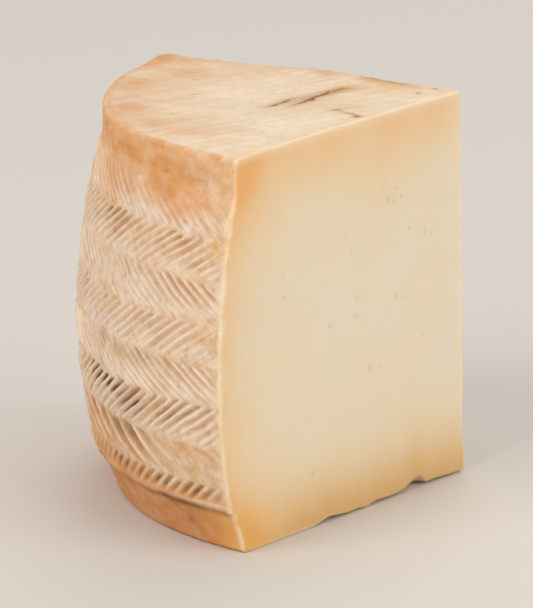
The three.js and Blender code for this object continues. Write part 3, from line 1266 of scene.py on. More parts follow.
@dataclass(frozen=True)
class Underside:
    """The lower face: flat near the foot, and hollow towards the tip with one pad that touches."""

    knife: Knife
    hollow: float = 0.0012
    inward: Ease = Ease(0.052, 0.064, 1.0, 0.0)
    rough: Mottle = Mottle(31, 0.009, 0.009, 3, 0.35)
    rough_mean: float = 0.75
    rough_most: float = 1.4
    pad: Spot = Spot(-0.003, -0.039, 0.004, 0.003, 1.0)
    chip_line: Triple = (-0.0250, -0.0165, -0.0125)
    chip_in: float = 0.0034
    chip_rise: float = 0.0024
    chip_ragged: Mottle = Mottle(36, 0.002, 0.002, 1, 0.0008)
    chip_step: float = 0.0006
    tint_rough: Mottle = Mottle(33, 0.010, 0.010, 3)
    tint_foot: Ease = Ease(0.070, 0.088)
    tints: tuple[tuple[str, Triple], ...] = (
        ("trough", (0.0, 0.0, 0.3)),
        ("toast", (0.2, 0.7, 0.2)),
        ("bloom", (0.35, -0.35, -0.3)),
        ("ochre", (0.3, 0.0, 0.4)),
    )

    def _chip(self, x: Array, y: Array) -> Array:
        """Rise of the chip: it climbs to its peak, drops past it, and fades in from the cut."""
        along = np.interp(y, self.chip_line, (0, 1, 0))
        deep_in = self.knife.tip[0] - x + self.chip_ragged.at(x, y)
        return self.chip_rise * smoothstep(along, 0, 1) * (1 - smoothstep(deep_in, 0, self.chip_in))

    def stations(self) -> Array:
        """Points over the chip, where the mesh is made fine."""
        edge = self.knife.tip[0]
        x = np.arange(edge - self.chip_in, edge, self.chip_step)
        y = np.arange(self.chip_line[0], self.chip_line[2], self.chip_step)
        return np.stack(np.meshgrid(x, y), -1).reshape(-1, 2)

    def height(self, x: Array, y: Array) -> Array:
        """Height over the ground: a smoothstep inwards, times grain, less the pad, plus the chip."""
        share = np.clip(self.rough_mean + self.rough.at(x, y), 0, self.rough_most)
        hollow = self.hollow * self.inward.at(np.hypot(x, y)) * share
        return hollow * (1 - self.pad.weight(x, y)) + self._chip(x, y)

    def weights(self, x: Array, y: Array) -> Arrays:
        """Colour weights: toasted at the foot, paler and dusty further in."""
        foot, rough = self.tint_foot.at(np.hypot(x, y)), self.tint_rough.at(x, y)
        return {name: np.clip(a + b * foot + c * rough, 0, 1) for name, (a, b, c) in self.tints}


CRACKS = (
    Crack(
        path=(
            (-0.0249, -0.0119), (-0.0282, -0.0153), (-0.0291, -0.0205),
            (-0.0286, -0.0283), (-0.0277, -0.0350), (-0.0273, -0.0400),
        ),
        width=0.00085, depth=0.0017, heart=0.62, reach=0.27, stain=0.0026,
    ),
    Crack(
        path=((-0.0318, -0.0285), (-0.0327, -0.0325), (-0.0321, -0.0382), (-0.0317, -0.0443)),
        width=0.00070, depth=0.0012, heart=0.70, reach=0.45, stain=0.0020,
    ),
    Crack(
        path=(
            (-0.0150, -0.0372), (-0.0128, -0.0380), (-0.0102, -0.0383), (-0.0068, -0.0392),
            (-0.0052, -0.0412),
        ),
        width=0.00035, depth=0.0005, heart=0.80, reach=0.45, stain=0.0009,
    ),
)
PITS = dents(
    (-14.7, -37.4, 1, 1.5), (-10.2, -38.3, 0.5, 0.3), (-6.2, -39.7, 1.2, 1), (-10.3, -8.3, 0.7, 0.4),
    (-9.4, -2.1, 0.9, 0.6), (-56, -42, 0.6, 0.3), (-66, -29, 0.5, 0.3), (-48, -62, 0.6, 0.3),
)


@dataclass(frozen=True)
class TopFace:
    """The upper face: faint board grooves, dried cracks, pits and low swells."""

    wheel: Wheel
    cracks: tuple[Crack, ...] = CRACKS
    pits: tuple[Dent, ...] = PITS
    swells: tuple[Spot, ...] = (
        Spot(-0.0475, -0.0020, 0.0090, 0.0120, 0.0007),
        Spot(-0.0200, -0.0020, 0.0600, 0.0120, 0.0003),
    )
    groove_pitch: float = 0.0046
    groove_depth: float = 0.00011
    groove_azimuth: float = 74.0
    groove_fan: float = 0.33
    groove_waver: Mottle = Mottle(21, 0.02, 0.03, 1, 0.0016)
    groove_mean: float = 0.5
    groove_patches: Mottle = Mottle(23, 0.02, 0.02, 1, 0.5)
    streaks: Mottle = Mottle(22, 0.00322, 0.03, 3, 0.625)
    grain: Mottle = Mottle(24, 0.004, 0.004, 3, 0.00010)
    slow: Mottle = Mottle(25, 0.018, 0.018, 1, 0.0002)
    inward: Ease = Ease(0.0003, 0.003)
    spacing: float = 0.0010

    def _grooves(self, x: Array, y: Array) -> tuple[Array, Array]:
        """Distance across the grooves, which fan a little and waver, and distance along them."""
        turn = math.radians(self.groove_azimuth)
        over = x * math.sin(turn) - y * math.cos(turn)
        along = x * math.cos(turn) + y * math.sin(turn)
        return over * (1 + self.groove_fan * along) + self.groove_waver.at(over, along), along

    def streak(self, x: Array, y: Array) -> Array:
        """Streaks along the grooves, from about -1 to 1."""
        return self.streaks.at(*self._grooves(x, y))

    def hollows(self, x: Array, y: Array) -> Array:
        """Depth of the cracks and pits together."""
        return sum(dent.hollow(x, y) for dent in (*self.cracks, *self.pits))

    def height(self, x: Array, y: Array) -> Array:
        """Height over the ground: the wheel's top with its lift and swells, and the relief on it.

        Args:
            x: first coordinate beside the axis.
            y: second coordinate.

        Returns:
            One height for each place.
        """
        groove = self.groove_depth * np.sin(2 * np.pi * self._grooves(x, y)[0] / self.groove_pitch)
        groove = groove * (self.groove_mean + self.groove_patches.at(x, y))
        relief = groove + self.grain.at(x, y) + self.slow.at(x, y) - self.hollows(x, y)
        inward = self.inward.at(self.wheel.rim_radius - np.hypot(x, y))
        return self.wheel.height + self.wheel.lift(x, y) + spread(self.swells, x, y) + inward * relief


# Rows of spots on the top: x and y beside the axis and half sizes in millimetres, and strength.
TOP_BROWN = spots(
    (-26.2, -0.8, 6, 2.6, 0.22), (-28.4, -18, 2, 5, 0.16), (-28.8, -27, 2.4, 6, 0.08),
)
TOP_TOAST = spots(
    (-22, -2.5, 7, 3, 1), (-27, -1, 5, 3.4, 1.6), (-40.5, -5, 4, 4, 0.45), (-56, -5, 14, 5, 0.2),
    (-94, -7, 4, 6, 0.75), (-89.5, -16, 4, 8, 0.25), (-28.5, -18.5, 3, 6, 0.6), (-27.2, -14, 2.6, 3.6, 0.4),
    (-78.5, -37, 5, 5, 0.3), (-71, -45, 5, 5, 0.24), (-69, -56, 5, 4, 0.3), (-61.5, -63.5, 5, 4.5, 0.34),
    (-64, -50, 8, 6, 0.22), (-43, -70, 6, 6, 0.36), (-35.5, -76.5, 7, 5, 0.44), (-30, -79, 6, 4, 0.3),
    (-50, -74, 6, 5, 0.25), (-20, -70, 6, 5, 0.18),
)
TOP_BLOOM = spots(
    (-6, -12, 8, 14, 1), (-14, -52, 12, 16, 1), (-10, -73, 10, 12, 0.8), (-44, -24, 10, 14, 0.7),
    (-46, -42, 12, 12, 0.6), (-24, -58, 12, 12, 0.5), (-25, -88, 16, 5, 0.6),
)
TOP_OCHRE = spots(
    (-20, -6, 8, 6, 0.9), (-8, -32, 6, 8, 0.4), (-30, -14, 6, 8, 0.5),
)


@dataclass(frozen=True)
class TopPaints:
    """Where each colour of the upper face lies."""

    top: TopFace
    rough: Mottle = Mottle(26, 0.010, 0.010, 3)
    margin: Ease = Ease(0.066, 0.0925, 0.0, 0.50)
    margin_side: Ease = Ease(0.035, 0.075)
    margin_varies: float = 0.8
    toast: Patches = Patches(TOP_TOAST, 1.0, 0.6)
    streak_toast: float = 0.10
    streak_least: float = -0.5
    rough_toast: float = 0.12
    tip: Spot = Spot(-0.005, -0.007, 0.012, 0.012, 0.9)
    rim_width: float = 0.0035
    rim_waver: float = 0.0008
    rim_side: Ease = Ease(0.035, 0.060, 0.0, 0.75)
    # Cracks and pits are browned by their depth and near-black at their deepest: painted shade in the
    # hollows; the stain along cracks and round pits is the crust's own.
    hollow_shade_depth: float = 0.0004
    crack_stain: float = 0.68
    pit_stain: float = 0.6
    dark_depth: float = 0.0011
    dark_from: float = 0.20
    brown: Patches = Patches(TOP_BROWN, 1.0, 0.4)
    bloom: Patches = Patches(TOP_BLOOM, 0.8, 0.5)
    streak_bloom: float = 0.15
    ochre_varies: float = 0.35

    def _toast(self, x: Array, y: Array, rough: Array, streak: Array) -> Array:
        """The toasted colour: margin, patches, streaks and roughness, or the rim where it is more.

        Args:
            x: first coordinate beside the axis.
            y: second coordinate.
            rough: the shared unevenness.
            streak: the streaks.

        Returns:
            One weight for each place.
        """
        reach, rim_radius = np.hypot(x, y), self.top.wheel.rim_radius
        toast = self.margin.at(reach) * self.margin_side.at(-x) * (1 + self.margin_varies * rough)
        toast = toast + self.toast.at(x, y, rough) + self.rough_toast * np.clip(rough, 0, 1)
        toast = toast + self.streak_toast * np.clip(streak, self.streak_least, 1)
        rim = smoothstep(reach + self.rim_waver * rough, rim_radius - self.rim_width, rim_radius)
        return np.maximum(toast * (1 - self.tip.weight(x, y)), rim * self.rim_side.at(-x))

    def weights(self, x: Array, y: Array) -> Arrays:
        """Colour weights from 0 to 1.

        Args:
            x: first coordinate beside the axis.
            y: second coordinate.

        Returns:
            Weights by name.
        """
        rough, streak = self.rough.at(x, y), self.top.streak(x, y)
        hollows = self.top.hollows(x, y)
        along_cracks = np.clip(sum(crack.brown(x, y) for crack in self.top.cracks), 0, 1)
        round_pits = sum(pit.brown(x, y) for pit in self.top.pits)
        stain = self.crack_stain * along_cracks + self.pit_stain * round_pits
        weights = {
            # Brown stain along the cracks and round the pits, and painted shade in the hollows by their
            # depth.
            "trough": hollows / self.hollow_shade_depth + stain,
            # Near-black in the deepest parts of the cracks and pits: painted shade.
            "deep": hollows / self.dark_depth - self.dark_from,
            # Brown patches of the top's crust.
            "shade": self.brown.at(x, y, rough),
            "toast": self._toast(x, y, rough, streak),
            "bloom": self.bloom.at(x, y, rough) - self.streak_bloom * streak,
            "ochre": spread(TOP_OCHRE, x, y) + self.ochre_varies * rough,
        }
        return {name: np.clip(weight, 0, 1) for name, weight in weights.items()}


class Finish(Enum):
    """The three finishes of the wedge, in the order of the mesh's material slots."""

    SIDE = 0
    FACE = 1
    PASTE = 2


@dataclass(frozen=True)
class Patch:
    """A stretch of the wedge's skin with one finish.

    Attributes:
        numbers: numbers of its points in the skin.
        faces: triangles, as point numbers.
        paints: colour weights at its points, by name.
        finish: its finish.
    """

    numbers: Array
    faces: Array
    paints: Arrays
    finish: Finish


class Skin:
    """The wedge's closed skin while it grows, point by point and patch by patch."""

    def __init__(self) -> None:
        """Starts with no points and no patches."""
        self.points: list[Array] = []
        self.patches: list[Patch] = []
        self.count = 0

    def add(self, points: Array) -> Array:
        """Adds points.

        Args:
            points: rows of x, y and z.

        Returns:
            Their numbers.
        """
        numbers = np.arange(self.count, self.count + len(points))
        self.points.append(points)
        self.count += len(points)
        return numbers

    def mesh(self, name: str, shift: Array) -> bpy.types.Mesh:
        """Makes the mesh, with a float attribute for each paint.

        Args:
            name: name of the mesh.
            shift: move from beside the axis to the frame.

        Returns:
            The mesh, smooth shaded, with its material numbers set.
        """
        faces = np.concatenate([patch.faces for patch in self.patches])
        used, faces = np.unique(faces, return_inverse=True)
        points = np.concatenate(self.points)[used] + shift
        faces = faces.reshape(-1, 3)
        mesh = bpy.data.meshes.new(name)
        mesh.vertices.add(len(points))
        mesh.vertices.foreach_set("co", points.astype(np.float32).ravel())
        mesh.loops.add(faces.size)
        mesh.loops.foreach_set("vertex_index", faces.astype(np.int32).ravel())
        mesh.polygons.add(len(faces))
        mesh.polygons.foreach_set("loop_start", np.arange(0, faces.size, 3, dtype=np.int32))
        finishes = [np.full(len(patch.faces), patch.finish.value) for patch in self.patches]
        mesh.polygons.foreach_set("material_index", np.concatenate(finishes).astype(np.int32))
        mesh.polygons.foreach_set("use_smooth", np.ones(len(faces), bool))
        for paint in sorted({paint for patch in self.patches for paint in patch.paints}):
            is_vector = any(patch.paints[paint].ndim == 2 for patch in self.patches if paint in patch.paints)
            values = np.zeros((self.count, 3) if is_vector else self.count, np.float32)
            for patch in self.patches:
                if paint in patch.paints:
                    values[patch.numbers] = patch.paints[paint]
            kind, field = ("FLOAT_VECTOR", "vector") if is_vector else ("FLOAT", "value")
            mesh.attributes.new(paint, kind, "POINT").data.foreach_set(field, values[used].ravel())
        mesh.update(calc_edges=True)
        return mesh


def filled(outline: Array, inner: Array) -> Array:
    """Triangles over a closed outline and through inner points, by Delaunay's rule.

    Args:
        outline: corners of the outline in order, anticlockwise, as rows of two coordinates.
        inner: points inside it.

    Returns:
        Triangles, anticlockwise, as numbers into the outline followed by the inner points.
    """
    millimetres = np.concatenate([outline, inner]) * 1000
    corners = [Vector(point) for point in millimetres]
    result = delaunay_2d_cdt(corners, [], [list(range(len(outline)))], 1, 1e-5)
    origins = np.array([origin[0] for origin in result[3]])
    return origins[np.array(result[2])]


def honeycomb(low: Pair, high: Pair, spacing: float, seed: int) -> Array:
    """Points on a jittered honeycomb over a box: every other row is moved half a spacing.

    Args:
        low: lower corner of the box.
        high: upper corner.
        spacing: distance between neighbours.
        seed: number that fixes the jitter.

    Returns:
        Rows of two coordinates.
    """
    jitter = 0.18
    rows = np.arange(low[1], high[1], spacing * math.sqrt(0.75))
    columns = np.arange(low[0], high[0], spacing)
    across = columns[None, :] + (np.arange(len(rows)) % 2)[:, None] * spacing / 2
    up = np.broadcast_to(rows[:, None], across.shape)
    points = np.stack([across.ravel(), up.ravel()], 1)
    return points + np.random.default_rng(seed).uniform(-jitter, jitter, points.shape) * spacing


def thinned(points: Array, gap: float) -> Array:
    """Keeps one point for each square of a lattice with that gap, the first one listed."""
    first = np.unique(np.round(points / gap).astype(np.int64), axis=0, return_index=True)[1]
    return points[np.sort(first)]


FIRST_EYES = dents(
    (31.5, 78.2, 1.7, 0.35), (29, 77.6, 1.2, 0.2), (26, 78.2, 1.1, 0.18), (34.3, 81, 0.9, 0.15),
    (33.1, 83, 1, 0.16), (27.8, 80.6, 1, 0.15), (23, 69.2, 1.1, 0.18), (16, 67.2, 1.4, 0.22),
    (13, 66.2, 0.9, 0.14), (48, 67.7, 1.2, 0.18), (50.5, 72.2, 0.9, 0.14), (75.5, 61.7, 1.4, 0.28),
    (76, 66.7, 1, 0.15), (45.5, 55.7, 1.2, 0.18), (46, 50.7, 1.3, 0.2), (57, 50.7, 1.4, 0.22),
    (29, 52.7, 1.2, 0.18), (26, 51.7, 1, 0.15), (40, 36.2, 1.3, 0.2), (36, 35.7, 1, 0.15),
    (17, 39.7, 1.1, 0.16), (65, 13.7, 1.1, 0.18),
)


def scattered_eyes(seed: int, count: int) -> tuple[Dent, ...]:
    """Eyes at random places of a cut face, well inside its edges.

    Args:
        seed: number that fixes the draw.
        count: how many.

    Returns:
        The eyes.
    """
    draw = np.random.default_rng(seed)
    across = draw.uniform(0.012, 0.082, count)
    up = draw.uniform(0.014, 0.086, count)
    radius = draw.uniform(0.0009, 0.0015, count)
    return tuple(Dent(*values) for values in zip(across, up, radius, 0.16 * radius))


SECOND_EYES = scattered_eyes(5, 16)


class Wedge:
    """The quarter: rind, two cut faces, top and underside, joined into one closed skin."""

    FIRST_SEED = 41
    SECOND_SEED = 61
    LEVEL_SEED = 71
    EDGE_STEP = 0.0008
    INNER_GAP = 0.00011
    MERGED = 0.35
    ROUNDS = 5
    TIP_GAP = 0.001
    PAST_TIP = 0.006
    RIM_BAND = 0.002
    RIM_GAP = 0.0003
    RIM_RINGS = (0.996, 0.990, 0.982)
    CUT_GAP = 0.0002
    CUT_WEAR = 1.6
    FAR = 1.0

    def __init__(self, wheel: Wheel, knife: Knife) -> None:
        """Takes the wheel and lays out the cuts and faces.

        Args:
            wheel: the wheel that the quarter is cut from.
            knife: how it is cut out.
        """
        turn = knife.second_turn
        slope = math.tan(math.radians(knife.second_lean)) / math.cos(math.radians(turn))
        mid = wheel.height / 2
        first, second = Cut(knife.tip, 90.0, -1, slope, mid), Cut(knife.tip, turn, 1, slope, mid)
        self.wheel = wheel
        self.rind = Rind(wheel)
        self.top = TopFace(wheel)
        self.underside = Underside(knife)
        self.first = CutFace(first, self.FIRST_SEED, FIRST_EYES, rounds_tip=True)
        self.second = CutFace(second, self.SECOND_SEED, SECOND_EYES, rounds_tip=False)
        self.skin = Skin()

    def _edge_angle(self, rows: Rows, face: CutFace) -> Array:
        """Finds where each row meets a cut, by a few rounds of looking up the radius there.

        Args:
            rows: the rows.
            face: the cut face.

        Returns:
            One angle for each row.
        """
        sunk = face.worn_back(rows.height, Edge.RIND)
        radius = rows.radius
        for _ in range(self.ROUNDS):
            reach = face.cut.reach_to(rows.height, radius, sunk)
            place = face.cut.place(reach, rows.height, sunk)
            angle = np.arctan2(place[:, 1], place[:, 0]) % (2 * np.pi)
            radius = self.rind.radius(rows, angle[:, None], np.zeros((len(angle), 1)))[:, 0]
        return angle

    @staticmethod
    def _strips(number: Array, turn: Array) -> Array:
        """Triangles between neighbouring rows of a grid, cut along the way that strands lean.

        Args:
            number: point number of each place of the grid.
            turn: how far round each row has swung.

        Returns:
            Triangles, without those that have two corners in one point.
        """
        a, b, c, d = number[:-1, :-1], number[:-1, 1:], number[1:, 1:], number[1:, :-1]
        forward = (np.diff(turn) > 0)[:, None, None]
        one = np.where(forward, np.stack([a, b, d], -1), np.stack([a, b, c], -1))
        other = np.where(forward, np.stack([b, c, d], -1), np.stack([a, c, d], -1))
        faces = np.concatenate([one.reshape(-1, 3), other.reshape(-1, 3)])
        return faces[(faces != np.roll(faces, -1, axis=1)).all(1)]

    def _rind(self) -> Arrays:
        """Adds the rind's patch: a grid whose columns follow the strands, ended at the cuts.

        Columns past a cut fall together on the row's end point, and the triangles that lose
        their area there are dropped.

        Returns:
            Point numbers of its four edges.
        """
        rows = self.rind.rows()
        low, high = self._edge_angle(rows, self.second), self._edge_angle(rows, self.first)
        step = self.rind.step
        first = math.floor((low.min() - rows.turn.max()) / step) - 2
        last = math.ceil((high.max() - rows.turn.min()) / step) + 2
        angle = np.arange(first, last) * step + rows.column("turn")
        past = angle >= high[:, None] - self.MERGED * step
        inside = (angle > low[:, None] + self.MERGED * step) & ~past
        counts = inside.sum(1) + 2
        starts = np.concatenate([[0], np.cumsum(counts)[:-1]])
        number = starts[:, None] + np.cumsum(inside, axis=1) + past
        every = np.concatenate([low[:, None], angle, high[:, None]], 1)
        ends = np.ones((len(angle), 1), bool)
        kept = np.concatenate([ends, inside, ends], 1)
        margin = np.minimum(high[:, None] - every, every - low[:, None]) * self.wheel.belly_radius
        radius = self.rind.radius(rows, every, margin)
        x, y, height = radius * np.cos(every), radius * np.sin(every), rows.column("height")
        z = height + self.wheel.side_lift(x, y, height) + self.rind.rise(rows, every)
        numbers = self.skin.add(np.stack([x[kept], y[kept], z[kept]], 1))
        weights = RindPaints(self.rind).weights(rows, every, margin)
        paints = {name: value[kept] for name, value in weights.items()}
        self.skin.patches.append(Patch(numbers, self._strips(number, rows.turn), paints, Finish.SIDE))
        return {
            "second": number[:, 0],
            "first": number[:, -1],
            "ground": np.arange(starts[0], starts[0] + counts[0]),
            "rim": np.arange(starts[-1], starts[-1] + counts[-1]),
        }

    def _level(self, edge: Edge) -> tuple[float, Callable[[Array, Array], Array]]:
        """Nominal height of the top or the underside, and what gives its height at a place."""
        if edge is Edge.TOP:
            return self.wheel.height, self.top.height
        return 0.0, self.underside.height

    def _level_edge(self, face: CutFace, reach_from: float, reach_to: float, edge: Edge) -> Array:
        """Points along a cut's upper or lower edge, without both ends.

        Args:
            face: the cut face.
            reach_from: reach of the end where it starts.
            reach_to: reach of the other end.
            edge: the top or the ground edge.

        Returns:
            Rows of x, y and z.
        """
        nominal, surface = self._level(edge)
        count = round(abs(reach_to - reach_from) / self.EDGE_STEP)
        reach = np.linspace(reach_from, reach_to, count + 1)[1:-1]
        points = face.cut.place(reach, np.full(reach.shape, nominal), face.worn_back(reach, edge))
        points[:, 2] = surface(points[:, 0], points[:, 1])
        return points

    def _corner(self, edge: Edge) -> Array:
        """The corner that both cuts share with the top or the underside.

        Args:
            edge: the top or the ground edge.

        Returns:
            One row of x, y and z.
        """
        nominal, surface = self._level(edge)
        reach = self.first.worn_back(np.array([nominal]), Edge.TIP)
        sunk = self.second.worn_back(np.zeros(1), edge)
        point = self.second.cut.place(reach, np.array([nominal]), sunk)
        point[:, 2] = surface(point[:, 0], point[:, 1])
        return point

    def _tip(self, upper: Array, lower: Array) -> Array:
        """Adds the points of the edge that both cuts share.

        Args:
            upper: number of its upper corner, in an array.
            lower: number of its lower corner, in an array.

        Returns:
            Point numbers from the upper to the lower corner.
        """
        top, ground = np.concatenate(self.skin.points)[[upper[0], lower[0]], 2]
        height = np.linspace(top, ground, round(self.wheel.height / self.EDGE_STEP))[1:-1]
        reach = self.first.worn_back(height, Edge.TIP)
        far = np.full(height.shape, self.FAR)
        distances = {Edge.RIND: far, Edge.TOP: top - height, Edge.GROUND: height - ground, Edge.TIP: far}
        sunk = self.second.sunk(np.stack([reach, height], 1), distances)
        return np.concatenate([upper, self.skin.add(self.second.cut.place(reach, height, sunk)), lower])

    def _cut_face(self, face: CutFace, rind: Array, top: Array, ground: Array, tip: Array) -> None:
        """Adds a cut face's patch, filled from its four edges inwards.

        The face whose tip is rounded is seen from its other side, so it is filled in a mirror.

        Args:
            face: the cut face.
            rind: point numbers up the rind's edge.
            top: point numbers along the top edge from the rind to the tip, without both ends.
            ground: point numbers along the lower edge from the tip to the rind, without both ends.
            tip: point numbers down the tip edge, with both ends.
        """
        points = np.concatenate(self.skin.points)
        loop = np.concatenate([tip[-1:], ground, rind, top, tip[:-1]])
        edges = FaceEdges(
            rind=face.cut.flat(points[rind]),
            top=face.cut.flat(points[np.concatenate([tip[:1], top[::-1], rind[-1:]])]),
            ground=face.cut.flat(points[np.concatenate([tip[-1:], ground, rind[:1]])]),
            tip=face.cut.flat(points[tip]),
        )
        outline, inner = face.cut.flat(points[loop]), face.inner_points(edges, self.INNER_GAP)
        sunk = face.sunk(inner, edges.distances(inner))
        numbers = np.concatenate([loop, self.skin.add(face.cut.place(*inner.T, sunk))])
        flat = np.concatenate([outline, inner])
        if face.rounds_tip:
            mirror = np.array([-1.0, 1.0])
            order = np.concatenate([np.arange(len(loop))[::-1], np.arange(len(loop), len(flat))])
            triangles = order[filled(outline[::-1] * mirror, inner * mirror)]
        else:
            triangles = filled(outline, inner)
        paints = face.weights(flat, edges.distances(flat))
        self.skin.patches.append(Patch(numbers, numbers[triangles], paints, Finish.PASTE))

    def _level_face(self, loop: Array, edge: Edge) -> None:
        """Adds the top or the underside, filled from its outline inwards.

        Args:
            loop: point numbers of its outline, anticlockwise seen from above.
            edge: the top or the ground.
        """
        is_top = edge is Edge.TOP
        outline = np.concatenate(self.skin.points)[loop][:, :2]
        nominal, surface = self._level(edge)
        spacing = self.top.spacing if is_top else 2 * self.top.spacing
        limit = self.wheel.rim_radius if is_top else self.wheel.foot_radius - self.wheel.foot_round
        hollows = (*self.top.cracks, *self.top.pits) if is_top else (self.underside,)
        box = (-limit, -limit), (self.PAST_TIP, self.PAST_TIP)
        rim = outline[np.hypot(*outline.T) > limit - self.RIM_BAND]
        inner = np.concatenate([
            *(hollow.stations() for hollow in hollows),
            honeycomb(*box, spacing, self.LEVEL_SEED + edge.value),
            *(rim * share for share in self.RIM_RINGS),
        ])
        inner = thinned(inner, 2 * self.INNER_GAP)
        inside = limit - np.hypot(*inner.T) > self.RIM_GAP
        for face in (self.first, self.second):
            line = face.cut.line(np.full(len(inner), nominal))
            behind = ((line - inner) * face.cut.outward).sum(1)
            inside &= behind > face.edge_round + self.CUT_WEAR * face.wear + self.CUT_GAP
        inner = inner[inside]
        level = surface(inner[:, 0], inner[:, 1])
        numbers = np.concatenate([loop, self.skin.add(np.column_stack([inner, level]))])
        faces = numbers[filled(outline, inner)]
        places = np.concatenate([outline, inner])
        paints = TopPaints(self.top).weights(*places.T) if is_top else self.underside.weights(*places.T)
        self.skin.patches.append(Patch(numbers, faces if is_top else faces[:, ::-1], paints, Finish.FACE))

    def build(self, shift: Array) -> bpy.types.Mesh:
        """Grows the whole skin and makes its mesh.

        Args:
            shift: move from beside the axis to the frame.

        Returns:
            The mesh.
        """
        edges = self._rind()
        points = np.concatenate(self.skin.points)
        cuts = {"first": self.first, "second": self.second}
        tops, grounds = {}, {}
        for name, face in cuts.items():
            low, high = face.cut.flat(points[edges[name][[0, -1]]])[:, 0]
            tops[name] = self.skin.add(self._level_edge(face, high, self.TIP_GAP, Edge.TOP))
            grounds[name] = self.skin.add(self._level_edge(face, self.TIP_GAP, low, Edge.GROUND))
        upper, lower = self.skin.add(self._corner(Edge.TOP)), self.skin.add(self._corner(Edge.GROUND))
        tip = self._tip(upper, lower)
        for name, face in cuts.items():
            self._cut_face(face, edges[name], tops[name], grounds[name], tip)
        top = np.concatenate([edges["rim"], tops["first"], upper, tops["second"][::-1]])
        ground = np.concatenate([edges["ground"], grounds["first"][::-1], lower, grounds["second"]])
        self._level_face(top, Edge.TOP)
        self._level_face(ground, Edge.GROUND)
        return self.skin.mesh(PIECE, shift)


def linear(colour: Colour) -> tuple[float, float, float, float]:
    """A display colour, 0 to 255 a channel, as the linear colour that a shader takes."""
    share = np.array(colour) / 255
    values = np.where(share <= 0.04045, share / 12.92, ((share + 0.055) / 1.055) ** 2.4)
    return (*(float(value) for value in values), 1.0)


@dataclass(frozen=True)
class Glow:
    """Light from under a surface: its share, how far each channel spreads, and the scale in metres."""

    weight: float
    radius: Triple
    scale: float


